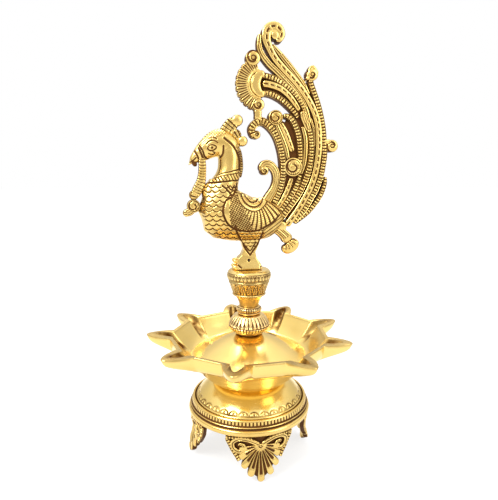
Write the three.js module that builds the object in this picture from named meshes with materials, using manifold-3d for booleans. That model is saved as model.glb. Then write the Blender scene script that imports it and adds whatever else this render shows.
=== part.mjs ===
// A standing brass oil lamp (samai): four openwork feet, a domed pedestal, a dish with nine
// wick spouts, a turned stem and a peacock finial. The dish, the stem and the finial each
// unscrew on a threaded stud.
//
// Units are millimetres, +Z is up. The origin is on the lamp's axis, on the floor. The peacock
// lies in the XZ plane and looks towards -X. Angles round the axis start at -Y and grow
// towards +X.

import * as THREE from 'three';
import * as BufferGeometryUtils from 'three/addons/utils/BufferGeometryUtils.js';
import Module from 'manifold-3d';

const wasm = await Module();
wasm.setup();

// ---------- driving dimensions ----------

const GAP = 0.3;                 // clearance left between neighbouring pieces

const FOOT_COUNT = 4;
const FOOT_TOP = 44.2;           // top of a foot, under the ring
const FOOT_RADIUS = 58;          // the feet curve round the axis at this radius
const FOOT_THICKNESS = 6.4;
const LUG = { halfWidth: 11, inner: 47, outer: 55.5, thickness: 3 };
const SCREW = { radius: 1.3, headRadius: 2.6, headHeight: 1.6, place: 50.4, top: 49.6 };

const RING = { inner: 47, outer: 60.8, bottom: FOOT_TOP + GAP, ledge: 52, top: 58 };
const DOME = { outer: 54, bottom: RING.ledge + GAP, top: 75, wall: 3, bossRadius: 9, bossBottom: 62 };

const DISH_BOTTOM = DOME.top + GAP;
const DISH_TOP = 120.5;          // top of the raised centre of the dish
const RIM_RADIUS = 78.2;         // rim of the bowl between two spouts
const SPOUT_COUNT = 9;
const SPOUT_FIRST = -17.7;       // degrees
const SPOUT_HALF_ANGLE = 9.7;    // degrees taken by half a spout, outside, at the bowl's rim
const CHANNEL_HALF_ANGLE = 4.8;  // degrees taken by half its wick channel
const STEPS_PER_SPOUT = 10;      // divisions round the dish for each spout, an even number

const STUD_RADIUS = 3;           // stem and finial studs
const DISH_STUD_RADIUS = 4;
const CENTRE_HOLE = STUD_RADIUS + 0.4;
const DISH_HOLE = DISH_STUD_RADIUS + 0.4;

const COLLAR_BOTTOM = DISH_TOP + GAP;
const BEAD_BOTTOM = 141.1;
const URN_BOTTOM = 149.5;
const URN_TOP = 186.2;
const PERCH = URN_TOP + GAP;     // level that the finial stands on

const TAIL_DEPTH = 11;           // thickness of the tail, front to back
const ROUND = 36;                // facets round a turned piece of the stem
const WIDE_ROUND = 48;           // facets round the ring and the dome

const BRASS = { color: 0xd9a94a, roughness: 0.28, metalness: 1 };
const ANTIQUE_BRASS = { color: 0xb98a38, roughness: 0.45, metalness: 1 };
const STEEL = { color: 0x9a9a98, roughness: 0.4, metalness: 1 };

// ---------- small tools ----------

const radians = THREE.MathUtils.degToRad;

function toSolid(geometry) {
  const bare = geometry.index ? geometry.toNonIndexed() : geometry.clone();
  bare.deleteAttribute('normal');
  bare.deleteAttribute('uv');
  const merged = BufferGeometryUtils.mergeVertices(bare, 1e-4);
  return new wasm.Manifold(new wasm.Mesh({
    numProp: 3,
    vertProperties: new Float32Array(merged.attributes.position.array),
    triVerts: new Uint32Array(merged.index.array),
  }));
}

function toGeometry(solid) {
  const mesh = solid.getMesh();
  const geometry = new THREE.BufferGeometry();
  geometry.setAttribute('position', new THREE.BufferAttribute(mesh.vertProperties, 3));
  geometry.setIndex(new THREE.BufferAttribute(mesh.triVerts, 1));
  geometry.computeVertexNormals();
  return geometry;
}

const joined = (solids) => solids.reduce((whole, piece) => whole.add(piece));

// A turned solid: the outline is a closed loop of [radius, height] points.
function turned(outline, facets = ROUND) {
  const points = [...outline, outline[0]].map(([r, z]) => new THREE.Vector2(r, z));
  return new THREE.LatheGeometry(points, facets).rotateX(Math.PI / 2);
}

// An upright rod or disc on the axis through (x, y).
function rod(radius, bottom, top, x = 0, y = 0, facets = 20) {
  return new THREE.CylinderGeometry(radius, radius, top - bottom, facets)
    .rotateX(Math.PI / 2).translate(x, y, (bottom + top) / 2);
}

// A flat outline of [x, z] points, given a thickness along Y about the XZ plane.
function plate(points, depth) {
  const shape = new THREE.Shape(points.map(([x, z]) => new THREE.Vector2(x, z)));
  return new THREE.ExtrudeGeometry(shape, { depth, bevelEnabled: false })
    .rotateX(Math.PI / 2).translate(0, depth / 2, 0);
}

// A smooth band of constant width along a curve through [x, z] points.
function band(points, width, depth = TAIL_DEPTH, steps = 2 * points.length) {
  const curve = new THREE.SplineCurve(points.map(([x, z]) => new THREE.Vector2(x, z)));
  const left = [];
  const right = [];
  for (let i = 0; i <= steps; i += 1) {
    const at = curve.getPointAt(i / steps);
    const along = curve.getTangentAt(i / steps);
    const side = new THREE.Vector2(-along.y, along.x).multiplyScalar(width / 2);
    left.push([at.x + side.x, at.y + side.y]);
    right.unshift([at.x - side.x, at.y - side.y]);
  }
  return toSolid(plate([...left, ...right], depth));
}

// A round boss through the thickness of the finial, at [x, z].
function boss([x, z], radius, depth = TAIL_DEPTH, facets = 16) {
  return toSolid(new THREE.CylinderGeometry(radius, radius, depth, facets).translate(x, 0, z));
}

// A rounded limb along a curve of [x, z, half height, half thickness] points. Both ends close.
function limb(points, grow = 0, around = 16, along = 14) {
  const spine = new THREE.SplineCurve(points.map(([x, z]) => new THREE.Vector2(x, z)));
  const girth = new THREE.SplineCurve(points.map(([, , h, t]) => new THREE.Vector2(h + grow, t + grow)));
  const geometry = new THREE.SphereGeometry(1, around, along);
  const position = geometry.attributes.position;
  for (let i = 0; i < position.count; i += 1) {
    const v = Math.acos(THREE.MathUtils.clamp(position.getY(i), -1, 1)) / Math.PI;
    const at = spine.getPoint(v);
    const tangent = spine.getTangent(v);
    const size = girth.getPoint(v);
    const ring = Math.sin(v * Math.PI);
    const scale = ring < 1e-6 ? 0 : Math.min(1, 2.4 * ring) / ring;
    const up = position.getX(i) * scale * size.x;
    const out = position.getZ(i) * scale * size.y;
    position.setXYZ(i, at.x - tangent.y * up, -out, at.y + tangent.x * up);
  }
  return toSolid(geometry);
}

const lifted = (solid, height) => solid.translate([0, 0, height]);

function mesh(name, shape, material) {
  const geometry = shape.isBufferGeometry ? shape : toGeometry(shape);
  const node = new THREE.Mesh(geometry, new THREE.MeshStandardMaterial(material));
  node.name = name;
  return node;
}

// ---------- feet ----------

// Half of a foot's outline from the notch under the ring, out along the wing and down the shell.
const FOOT_HALF = [[0, 38.6], [5, 40.4], [11, 44.2], [33, 44.2], [29, 38.5], [22.5, 31.5], [19.4, 26],
  [18.2, 20], [15.4, 15.4], [13, 11], [9.6, 7.6], [7.4, 3.8], [4.6, 2.4], [3.4, 0]];
const FOOT_WINDOW = [[6, 35.5], [9.5, 39.4], [15.5, 40.4], [20, 37], [17, 33.2], [12.5, 31.8], [8, 32.6]];
// How far the front of a foot stands from the axis, for each height.
const FOOT_FRONT = [[0, 61.6], [6, 62], [13, 60.6], [22, 58.4], [30, 58.2], [38, 59.4], [44.2, 60.4]];

function frontOfFoot(height) {
  const above = FOOT_FRONT.findIndex(([z]) => z >= height - 1e-6);
  if (above <= 0) return FOOT_FRONT[0][1];
  const [z0, r0] = FOOT_FRONT[above - 1];
  const [z1, r1] = FOOT_FRONT[above];
  return r0 + (r1 - r0) * (height - z0) / (z1 - z0);
}

function footShape() {
  const mirrored = FOOT_HALF.slice(1).reverse().map(([x, z]) => [-x, z]);
  const shape = new THREE.Shape([...FOOT_HALF, ...mirrored].map(([x, z]) => new THREE.Vector2(x, z)));
  const window = FOOT_WINDOW.map(([x, z]) => new THREE.Vector2(x, z));
  const twin = FOOT_WINDOW.map(([x, z]) => new THREE.Vector2(-x, z)).reverse();
  shape.holes.push(new THREE.Path(window.reverse()), new THREE.Path(twin.reverse()));
  return shape;
}

// One foot, on the -Y side: the flat openwork is bent round the axis and given its paw profile.
function foot() {
  const geometry = new THREE.ExtrudeGeometry(footShape(), { depth: FOOT_THICKNESS, bevelEnabled: false });
  const position = geometry.attributes.position;
  for (let i = 0; i < position.count; i += 1) {
    const angle = position.getX(i) / FOOT_RADIUS;
    const radius = frontOfFoot(position.getY(i)) - FOOT_THICKNESS + position.getZ(i);
    position.setXYZ(i, radius * Math.sin(angle), -radius * Math.cos(angle), position.getY(i));
  }
  const lug = new THREE.BoxGeometry(2 * LUG.halfWidth, LUG.outer - LUG.inner, LUG.thickness)
    .translate(0, -(LUG.inner + LUG.outer) / 2, FOOT_TOP - LUG.thickness / 2);
  const hole = rod(SCREW.radius + GAP, 30, FOOT_TOP + 1, 0, -SCREW.place);
  return toSolid(geometry).add(toSolid(lug)).subtract(toSolid(hole));
}

function footScrew() {
  const seat = FOOT_TOP - LUG.thickness - GAP;
  const head = rod(SCREW.headRadius, seat - SCREW.headHeight, seat, 0, -SCREW.place);
  const shank = rod(SCREW.radius, seat - 0.5, SCREW.top, 0, -SCREW.place);
  return toSolid(head).add(toSolid(shank));
}

// ---------- base ring and pedestal dome ----------

function baseRing() {
  const { inner, outer, bottom, ledge, top } = RING;
  const ring = toSolid(turned([
    [inner, bottom], [outer, bottom], [outer + 0.2, bottom + 2.6], [outer - 0.4, bottom + 5.2],
    [58.4, bottom + 6], [58.2, 52.9], [58.4, 53.6], [57.4, top], [DOME.outer + 0.4, top],
    [DOME.outer + 0.4, ledge], [inner, ledge],
  ], WIDE_ROUND));
  const holes = [];
  for (let i = 0; i < FOOT_COUNT; i += 1) {
    const hole = rod(SCREW.radius + GAP, bottom - 1, SCREW.top + 0.6, 0, -SCREW.place);
    holes.push(toSolid(hole.rotateZ(i * 2 * Math.PI / FOOT_COUNT)));
  }
  return ring.subtract(joined(holes));
}

function pedestalDome() {
  const { outer, bottom, top, wall, bossRadius, bossBottom } = DOME;
  return turned([
    [outer - wall, bottom], [outer, bottom], [outer, 57], [52.6, 61], [49, 65.6], [43, 70.4],
    [35.5, 74], [30, top], [DISH_HOLE, top], [DISH_HOLE, bossBottom], [bossRadius, bossBottom],
    [bossRadius, top - wall], [29.5, top - wall], [41.5, 67.6], [49.8, 59.8],
  ], WIDE_ROUND);
}

// ---------- dish with its wick spouts ----------

// Sections of the dish: between two spouts, and along the middle of one. Both loops run from the
// inside of the foot, under the bowl, over the rim and back over the raised centre to the hub.
const SECTION_BETWEEN = [
  [30.4, DISH_BOTTOM], [33.5, DISH_BOTTOM], [35.2, 80.5], [41, 87], [52, 94.2], [66, 101.2],
  [73, 105.4], [77, 111.4], [RIM_RADIUS, 120.2], [RIM_RADIUS - 2.6, 120.2], [73.6, 112],
  [68.6, 105.8], [62.5, 102.2], [57, 99.9], [51, 102.8], [43, 108], [12.5, DISH_TOP],
  [DISH_HOLE, DISH_TOP], [DISH_HOLE, 90], [8.6, 90], [8.6, 117.4], [42, 104.6], [49, 98.6], [33.5, 84],
];
const SECTION_SPOUT = new Map([
  [6, [79, 106.6]], [7, [95.5, 112.6]], [8, [101.5, 121.4]], [9, [93, 121.4]],
  [10, [86.4, 115]], [11, [74.5, 108.4]], [12, [64, 102.9]],
]);
const OUTSIDE_POINTS = 8;        // points 0 to 8 of the sections are the outside

// The share of a spout's reach that is left at an angle from its middle.
function reach(angle, halfAngle) {
  const share = Math.min(Math.abs(angle) / halfAngle, 1);
  return 1 - share ** 1.4;
}

function dish() {
  const facets = SPOUT_COUNT * STEPS_PER_SPOUT;
  const geometry = turned(SECTION_BETWEEN, facets);
  const position = geometry.attributes.position;
  const rows = SECTION_BETWEEN.length + 1;
  const half = STEPS_PER_SPOUT / 2;
  for (let i = 0; i < position.count; i += 1) {
    const row = (i % rows) % SECTION_BETWEEN.length;
    const step = Math.floor(i / rows) % facets;
    const spout = Math.round(step / STEPS_PER_SPOUT);
    const offset = (step - spout * STEPS_PER_SPOUT) / half;
    const angle = Math.sign(offset) * (180 / SPOUT_COUNT) * Math.abs(offset) ** 1.557;
    const share = reach(angle, row <= OUTSIDE_POINTS ? SPOUT_HALF_ANGLE : CHANNEL_HALF_ANGLE);
    const [r0, z0] = SECTION_BETWEEN[row];
    const [r1, z1] = SECTION_SPOUT.get(row) ?? [r0, z0];
    const radius = r0 + share * (r1 - r0);
    const turn = radians(SPOUT_FIRST + angle + spout * 360 / SPOUT_COUNT);
    position.setXYZ(i, radius * Math.sin(turn), -radius * Math.cos(turn), z0 + share * (z1 - z0));
  }
  return geometry;
}

// ---------- stem ----------

const lotusCollar = () => turned([
  [CENTRE_HOLE, COLLAR_BOTTOM], [12, COLLAR_BOTTOM], [15.5, 123.3], [19.5, 127.5], [20.4, 131.1],
  [18, 135.8], [14.4, 140.8], [CENTRE_HOLE, 140.8],
]);

const beadRing = () => turned([
  [CENTRE_HOLE, BEAD_BOTTOM], [10.6, BEAD_BOTTOM], [11.8, 143.4], [12, 146.4], [10.8, 149.2],
  [CENTRE_HOLE, 149.2],
]);

const stemUrn = () => turned([
  [CENTRE_HOLE, URN_BOTTOM], [9.1, URN_BOTTOM], [10.7, 154.3], [12.9, 158.4], [16, 161.2],
  [17.1, 164.5], [18.8, 169.5], [20.4, 174.2], [20, 175], [20.6, 175.8], [21.4, 180.1], [20, 184.4],
  [16.5, URN_TOP], [CENTRE_HOLE, URN_TOP],
]);

// ---------- peacock finial: heights here start from the perch ----------

const NECK_SPINE = [[-24, 62, 12, 13], [-19, 78, 12, 12.5], [-15.8, 92, 12, 11.5], [-16, 104, 12, 10.5],
  [-19, 114, 9, 9]];
const HEAD_SPINE = [[-9.5, 111, 7, 7], [-17, 115.5, 13, 9.5], [-27, 118, 13, 9.5], [-36, 115, 10.5, 8.5],
  [-44, 109.5, 8, 6.5], [-51, 104, 4.6, 4], [-57.5, 97.5, 1.2, 1.6]];
const TRUNK_SPINE = [[-49, 57, 12, 8], [-42, 57, 20, 14], [-30, 56, 25.5, 18], [-14, 51, 24, 18.5],
  [2, 48, 21, 17.5], [14, 50, 20.5, 14], [24, 57, 16, 9], [30, 64, 8, 5]];
const LEG_OUTLINE = [[-12, 34], [12, 34], [7.6, 24], [6, 17], [9, 10.5], [12.4, 5.4], [12.4, 0.1],
  [-15.6, 0.1], [-16.2, 8], [-14.6, 11.2], [-8.5, 14], [-6, 18.6], [-8, 24]];
const LEG_DEPTH = 13;
const FOOT_PLATE = [[-15.6, 0], [12.4, 0], [11, 3.4], [-15, 3.4]];
const FOOT_PLATE_DEPTH = 19;
const PIN = { x: -1.2, z: 9, radius: 0.9, length: LEG_DEPTH + 0.8 };
const SOCKET_DEPTH = 6;          // how far the finial's stud goes up into it

function bird(grow = 0) {
  return joined([limb(TRUNK_SPINE, grow), limb(NECK_SPINE, grow), limb(HEAD_SPINE, grow, 14, 12)]);
}

function peacockBody() {
  const leg = toSolid(plate(LEG_OUTLINE, LEG_DEPTH)).add(toSolid(plate(FOOT_PLATE, FOOT_PLATE_DEPTH)));
  const pinHole = boss([PIN.x, PIN.z], PIN.radius + GAP, 2 * LEG_DEPTH, 12);
  const socket = toSolid(rod(CENTRE_HOLE, -1, SOCKET_DEPTH));
  return bird().add(leg).subtract(pinHole).subtract(socket);
}

const finialPin = () => boss([PIN.x, PIN.z], PIN.radius, PIN.length, 12);

const MAIN_QUILL = [[27, 36], [33.5, 42], [49.5, 64], [63.5, 96], [66.5, 113], [65.5, 131.5], [55, 160],
  [36.5, 183], [18.5, 201], [14, 210], [15, 217], [20, 222], [27, 220.5], [31, 214]];
const OUTER_BAND = [[27, 38], [40.5, 44.5], [52.5, 51], [65, 62], [71.5, 75], [74, 87], [73, 104],
  [72, 122.5], [67, 148], [59.5, 169], [56.5, 178]];
const RIB_SHEATH = [[6.5, 209], [11.5, 197.5], [24, 184], [37.5, 169], [47.5, 158], [56.5, 138]];
const UPPER_PLUME = [[2, 175], [14, 176], [23.5, 173.5], [36, 166], [47.5, 154], [55, 138]];
const LOWER_PLUME = [[6, 166], [19, 166], [31, 161], [42, 149.5], [50, 139]];
const MIDDLE_BAND = [[24, 42], [35.5, 54], [46, 70], [55, 88.5], [57.5, 113], [54, 130], [46, 150]];
const INNER_BAND = [[3, 126.5], [2, 132], [6, 137.5], [12.5, 138.5], [20, 133], [26, 124.5],
  [30.5, 112.5], [33.5, 95], [31, 77.5], [24, 58], [18, 46]];
const SECOND_PLUME = [[27, 143], [35, 136], [42, 122], [45.5, 108], [43, 92], [36, 72], [24, 52]];
const FAN_ARC = [[8.5, 188.5], [-2.5, 186.5], [-6.5, 177], [-6, 167], [0, 157], [8, 149.5]];
const FAN_NECK = [[8, 156], [8, 138]];
const WING_PLUME = [[14.5, 92], [12, 96], [14, 99.5], [19, 99.5], [24.5, 94], [26, 85], [22, 70], [15, 56]];
const TAIL_BOSSES = [[24, 214, 5], [3, 193.5, 6.5], [58.5, 181, 6], [80, 117, 5], [8, 152, 5.5],
  [24.5, 142, 6.5], [42, 97, 8.5], [50, 146, 4.5], [75.5, 117, 4]];

function peacockTail() {
  const bands = [band(MAIN_QUILL, 9), band(OUTER_BAND, 8.5), band(RIB_SHEATH, 5.5), band(UPPER_PLUME, 9),
    band(LOWER_PLUME, 10), band(MIDDLE_BAND, 10), band(INNER_BAND, 7), band(SECOND_PLUME, 9.5),
    band(FAN_ARC, 13.5), band(FAN_NECK, 9), band(WING_PLUME, 8)];
  const bosses = TAIL_BOSSES.map(([x, z, radius]) => boss([x, z], radius));
  return joined([...bands, ...bosses]).subtract(bird(GAP));
}

const PEG = [[24, 37.2], [32, 34], [38.5, 25]];
const PEG_END = [[30.8, 18.6], [36.5, 14.6], [43.5, 17.2], [49.5, 26.5], [46.5, 29.4], [41, 27.6], [36, 21.5]];

function tailPeg() {
  const stem = band(PEG, 8, 9);
  const end = toSolid(plate(PEG_END, 10));
  const others = bird(GAP).add(band(MAIN_QUILL, 9 + 2 * GAP, 14)).add(band(OUTER_BAND, 8.5 + 2 * GAP, 14));
  return stem.add(end).subtract(others);
}

const CREST_LOBES = [
  [[-22, 124], [-18.5, 133], [-12.5, 139.5]], [[-18, 124], [-12.5, 128.5], [-9.5, 129.5]],
  [[-14, 119], [-8.5, 121.5], [-6.5, 121.5]],
];
const CREST_BALLS = [[-12.3, 140, 5.6], [-9.6, 130, 4.2], [-7.2, 121.4, 5.6]];

function crest() {
  const lobes = CREST_LOBES.map((points) => band(points, 9.5, 9));
  const balls = CREST_BALLS.map(([x, z, radius]) => boss([x, z], radius, 9.6));
  return joined([...lobes, ...balls]).subtract(bird(GAP));
}

const STRAND = [[-45.5, 104.5], [-43.5, 96], [-44.5, 86], [-47.5, 78], [-51, 70]];
const STRAND_END = [[-51, 70], [-53, 61], [-56.5, 56], [-62, 55]];

function beakGarland() {
  const strand = band(STRAND, 7, 9);
  const bud = boss([-52.5, 61.5], 6, 10);
  return strand.add(band(STRAND_END, 7, 8.4)).add(bud).subtract(bird(GAP));
}

// ---------- assembly ----------

const lamp = new THREE.Group();

for (let i = 0; i < FOOT_COUNT; i += 1) {
  const side = ['front', 'right', 'back', 'left'][i];
  const corner = new THREE.Group();
  corner.rotation.z = i * 2 * Math.PI / FOOT_COUNT;
  corner.add(mesh(`foot_${side}`, foot(), ANTIQUE_BRASS));
  corner.add(mesh(`foot_screw_${side}`, footScrew(), STEEL));
  lamp.add(corner);
}

lamp.add(mesh('base_ring', baseRing(), BRASS));
lamp.add(mesh('pedestal_dome', pedestalDome(), BRASS));

lamp.add(mesh('dish_stud', rod(DISH_STUD_RADIUS, DOME.bossBottom + 1, 103), STEEL));
lamp.add(mesh('dish', dish(), BRASS));

lamp.add(mesh('stem_stud', rod(STUD_RADIUS, 105, 165), STEEL));
lamp.add(mesh('lotus_collar', lotusCollar(), ANTIQUE_BRASS));
lamp.add(mesh('bead_ring', beadRing(), ANTIQUE_BRASS));
lamp.add(mesh('stem_urn', stemUrn(), ANTIQUE_BRASS));

lamp.add(mesh('finial_stud', rod(STUD_RADIUS, 168, PERCH + SOCKET_DEPTH - GAP), STEEL));
lamp.add(mesh('peacock_body', lifted(peacockBody(), PERCH), ANTIQUE_BRASS));
lamp.add(mesh('finial_pin', lifted(finialPin(), PERCH), STEEL));
lamp.add(mesh('peacock_tail', lifted(peacockTail(), PERCH), ANTIQUE_BRASS));
lamp.add(mesh('tail_peg', lifted(tailPeg(), PERCH), ANTIQUE_BRASS));
lamp.add(mesh('peacock_crest', lifted(crest(), PERCH), ANTIQUE_BRASS));
lamp.add(mesh('beak_garland', lifted(beakGarland(), PERCH), ANTIQUE_BRASS));

export default lamp;
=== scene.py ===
import math

import bmesh
import bpy
import numpy as np
from mathutils import Matrix, Vector


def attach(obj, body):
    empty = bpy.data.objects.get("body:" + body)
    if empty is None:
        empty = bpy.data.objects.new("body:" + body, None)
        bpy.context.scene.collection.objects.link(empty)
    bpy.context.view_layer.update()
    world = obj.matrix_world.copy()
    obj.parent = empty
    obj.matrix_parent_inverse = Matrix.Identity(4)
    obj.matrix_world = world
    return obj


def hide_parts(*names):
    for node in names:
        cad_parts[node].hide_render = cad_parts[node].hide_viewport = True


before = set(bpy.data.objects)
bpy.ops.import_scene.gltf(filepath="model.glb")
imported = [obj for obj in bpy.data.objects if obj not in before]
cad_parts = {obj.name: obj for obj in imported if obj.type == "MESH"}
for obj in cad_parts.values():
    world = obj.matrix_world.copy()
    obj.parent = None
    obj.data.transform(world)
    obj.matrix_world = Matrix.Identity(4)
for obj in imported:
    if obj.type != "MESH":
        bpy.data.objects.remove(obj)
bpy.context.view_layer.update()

# ----- The setting -----
# The lamp stands on a pale table top in a white tent, with a large soft light high on the left, a
# weaker one in front on the right and a third overhead.

MM = 0.001


def linear(colour):
    """An sRGB hex colour as linear red, green, blue and alpha."""
    parts = [int(colour[i:i + 2], 16) / 255 for i in (1, 3, 5)]
    return [c / 12.92 if c <= 0.04045 else ((c + 0.055) / 1.055) ** 2.4 for c in parts] + [1.0]


def add(tree, kind, inputs=None, **settings):
    """Adds a node to a tree, with its settings, its values and the sockets that feed it."""
    made = tree.nodes.new("ShaderNode" + kind)
    for name, value in settings.items():
        setattr(made, name, value)
    for name, value in (inputs or {}).items():
        if isinstance(value, bpy.types.NodeSocket):
            tree.links.new(value, made.inputs[name])
        else:
            made.inputs[name].default_value = value
    return made


def new_material(name):
    """An empty material and its node tree, with the output node already there."""
    material = bpy.data.materials.new(name)
    material.use_nodes = True
    tree = material.node_tree
    tree.nodes.clear()
    return material, tree, add(tree, "OutputMaterial")


CAMERA_DISTANCE = 418.6 * MM
CAMERA_HEIGHT = 271.9 * MM
CAMERA_AZIMUTH = math.radians(-10.5)
CAMERA_PITCH = 0.16
CAMERA_LENS = 31.47
CAMERA_NEAR = 10 * MM

camera_data = bpy.data.cameras.new("camera")
camera_data.lens = CAMERA_LENS
camera_data.clip_start = CAMERA_NEAR
camera = bpy.data.objects.new("camera", camera_data)
camera.location = (CAMERA_DISTANCE * math.sin(CAMERA_AZIMUTH),
                   -CAMERA_DISTANCE * math.cos(CAMERA_AZIMUTH), CAMERA_HEIGHT)
camera.rotation_euler = (math.pi / 2 - CAMERA_PITCH, 0, CAMERA_AZIMUTH)
bpy.context.scene.collection.objects.link(camera)
bpy.context.scene.camera = camera


LAMP_MIDDLE = Vector((0, 0, 0.2))


def soft_light(name, place, size, power):
    """A rectangular soft box that faces the middle of the lamp."""
    data = bpy.data.lights.new(name, "AREA")
    data.shape = "RECTANGLE"
    data.size, data.size_y = size
    data.energy = power
    light = bpy.data.objects.new(name, data)
    light.location = place
    light.rotation_euler = (LAMP_MIDDLE - Vector(place)).to_track_quat("-Z", "Y").to_euler()
    bpy.context.scene.collection.objects.link(light)


soft_light("key_light", (-0.77, -0.45, 1.02), (0.55, 0.6), 15)
soft_light("fill_light", (0.9, -0.95, 0.75), (0.7, 0.9), 6)
soft_light("top_light", (0.08, 0.45, 1.25), (0.6, 0.7), 11)

TENT_LEVEL, TENT_ABOVE, TENT_WHITE_FROM = "#D8D2C6", "#FFFFFF", 0.6
OVERHEAD_FROM, OVERHEAD_GAIN = 0.4, 1.5

# The tent is a little darker at the level of the table than above, and brightest straight overhead. Seen
# directly, it is plain white.
world = bpy.data.worlds.new("white_tent")
world.use_nodes = True
tree = world.node_tree
tree.nodes.clear()
where = add(tree, "TexCoord")
height = add(tree, "SeparateXYZ", {"Vector": where.outputs["Generated"]})
tent = add(tree, "ValToRGB", {"Fac": height.outputs["Z"]})
tent.color_ramp.elements[0].color = linear(TENT_LEVEL)
tent.color_ramp.elements[1].color = linear(TENT_ABOVE)
tent.color_ramp.elements[1].position = TENT_WHITE_FROM
ray = add(tree, "LightPath")
seen = add(tree, "Mix", {0: ray.outputs["Is Camera Ray"], 6: tent.outputs["Color"], 7: linear(TENT_ABOVE)},
           data_type="RGBA")
overhead = add(tree, "MapRange", {"Value": height.outputs["Z"], "From Min": OVERHEAD_FROM, "To Min": 1.0,
                                  "To Max": OVERHEAD_GAIN})
glow = add(tree, "Background", {"Color": seen.outputs[2], "Strength": overhead.outputs[0]})
add(tree, "OutputWorld", {"Surface": glow.outputs["Background"]})
bpy.context.scene.world = world
bpy.context.scene.view_settings.view_transform = "Standard"

FLOOR_HALF = 12.0
TABLE_GREY, TABLE_GLOW = "#8C8C8C", 0.75

# A matt white board that glows softly, so that it runs into the white tent with no edge, and a soft
# shadow under the feet is all that shows of it.
floor_material, tree, output = new_material("pale_table_top")
table_top = add(tree, "BsdfPrincipled", {
    "Base Color": linear(TABLE_GREY), "Roughness": 0.9, "Specular IOR Level": 0.1,
    "Emission Color": linear(TENT_ABOVE), "Emission Strength": TABLE_GLOW})
tree.links.new(table_top.outputs["BSDF"], output.inputs["Surface"])
floor_shape = bmesh.new()
bmesh.ops.create_grid(floor_shape, x_segments=2, y_segments=2, size=FLOOR_HALF)
floor_mesh = bpy.data.meshes.new("table_top")
floor_shape.to_mesh(floor_mesh)
floor_shape.free()
floor_mesh.materials.append(floor_material)
floor = bpy.data.objects.new("table_top", floor_mesh)
bpy.context.scene.collection.objects.link(floor)

# ----- The feet -----
# Four sand-cast brass brackets, each a pair of scrolls over a fluted shell, curved round the base and
# screwed up into it through a lug. They are dipped dark and buffed, so only the high parts are bright.

BRASS_BRIGHT, BRASS_DEEP = "#F5D98C", "#D8AE58"
PATINA_AND_SHADE_BROWN, PATINA_AND_SHADE_BLACK = "#70430F", "#2E1604"
BUFFED_UP_TO, SOOT_AND_SHADE_FROM = 0.1, 0.66
BUFFED_ROUGH, SOOTY_ROUGH = 0.24, 0.62
SOOTY_METALLIC = 0.75
SMEARS_PER_METRE = 160.0  # one in 6 mm
CLOUDS_PER_METRE = 45.0  # one in 22 mm
GRAIN_DEPTH = 0.2 * MM


def antique_brass(name, bright, deep, grain_mm=1.4):
    """Cast brass dipped in an oxidising bath and buffed by hand: brown-black in the recesses, where the
    attribute "patina" is 1, golden and half bright on the high parts. The grain of the sand is drawn
    coarser than a real one, so that it shows."""
    # The recess value also carries painted shade in a few places, the gap between a foot's scrolls and the
    # collar's underside, drawn in the same brown-black.
    material, tree, output = new_material(name)
    place = add(tree, "TexCoord").outputs["Object"]
    patina_and_shade = add(tree, "Attribute", attribute_name="patina_and_shade")
    smear = add(tree, "TexNoise", {"Vector": place, "Scale": SMEARS_PER_METRE, "Detail": 5.0})
    uneven = add(tree, "Math", {0: smear.outputs["Fac"], 1: -0.5}, operation="ADD")
    stained_and_shaded = add(tree, "Math", {0: uneven.outputs[0], 1: 0.5, 2: patina_and_shade.outputs["Fac"]},
                  operation="MULTIPLY_ADD")
    dark = add(tree, "MapRange", {"Value": stained_and_shaded.outputs[0], "From Min": BUFFED_UP_TO,
                                  "From Max": SOOT_AND_SHADE_FROM}, interpolation_type="SMOOTHSTEP")
    cloud = add(tree, "TexNoise", {"Vector": place, "Scale": CLOUDS_PER_METRE, "Detail": 3.0})
    metal = add(tree, "Mix", {0: cloud.outputs["Fac"], 6: linear(deep), 7: linear(bright)}, data_type="RGBA")
    soot_and_shade = add(tree, "Mix", {0: smear.outputs["Fac"], 6: linear(PATINA_AND_SHADE_BLACK), 7: linear(PATINA_AND_SHADE_BROWN)},
               data_type="RGBA")
    colour = add(tree, "Mix", {0: dark.outputs[0], 6: metal.outputs[2], 7: soot_and_shade.outputs[2]}, data_type="RGBA")
    shine = add(tree, "MapRange", {"Value": dark.outputs[0], "To Min": BUFFED_ROUGH, "To Max": SOOTY_ROUGH})
    metallic = add(tree, "MapRange", {"Value": dark.outputs[0], "To Min": 1.0, "To Max": SOOTY_METALLIC})
    grain = add(tree, "TexNoise", {"Vector": place, "Scale": 1 / (grain_mm * MM), "Detail": 3.0})
    bump = add(tree, "Bump", {"Height": grain.outputs["Fac"], "Distance": GRAIN_DEPTH, "Strength": 0.35})
    brass = add(tree, "BsdfPrincipled", {"Base Color": colour.outputs[2], "Roughness": shine.outputs[0],
                                         "Metallic": metallic.outputs[0], "Normal": bump.outputs[0]})
    tree.links.new(brass.outputs["BSDF"], output.inputs["Surface"])
    return material


def step_between(low, high, value):
    """0 below low, 1 above high and smooth between."""
    t = np.clip((value - low) / (high - low), 0.0, 1.0)
    return t * t * (3 - 2 * t)


def fade(low, high, value):
    """1 below low, 0 above high and smooth between."""
    return 1 - step_between(low, high, value)


def bars(along, pitch):
    """0 in each gap between bars of this pitch, and 1 on the middle of each bar."""
    return abs(np.sin(math.pi * along / pitch))


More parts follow.
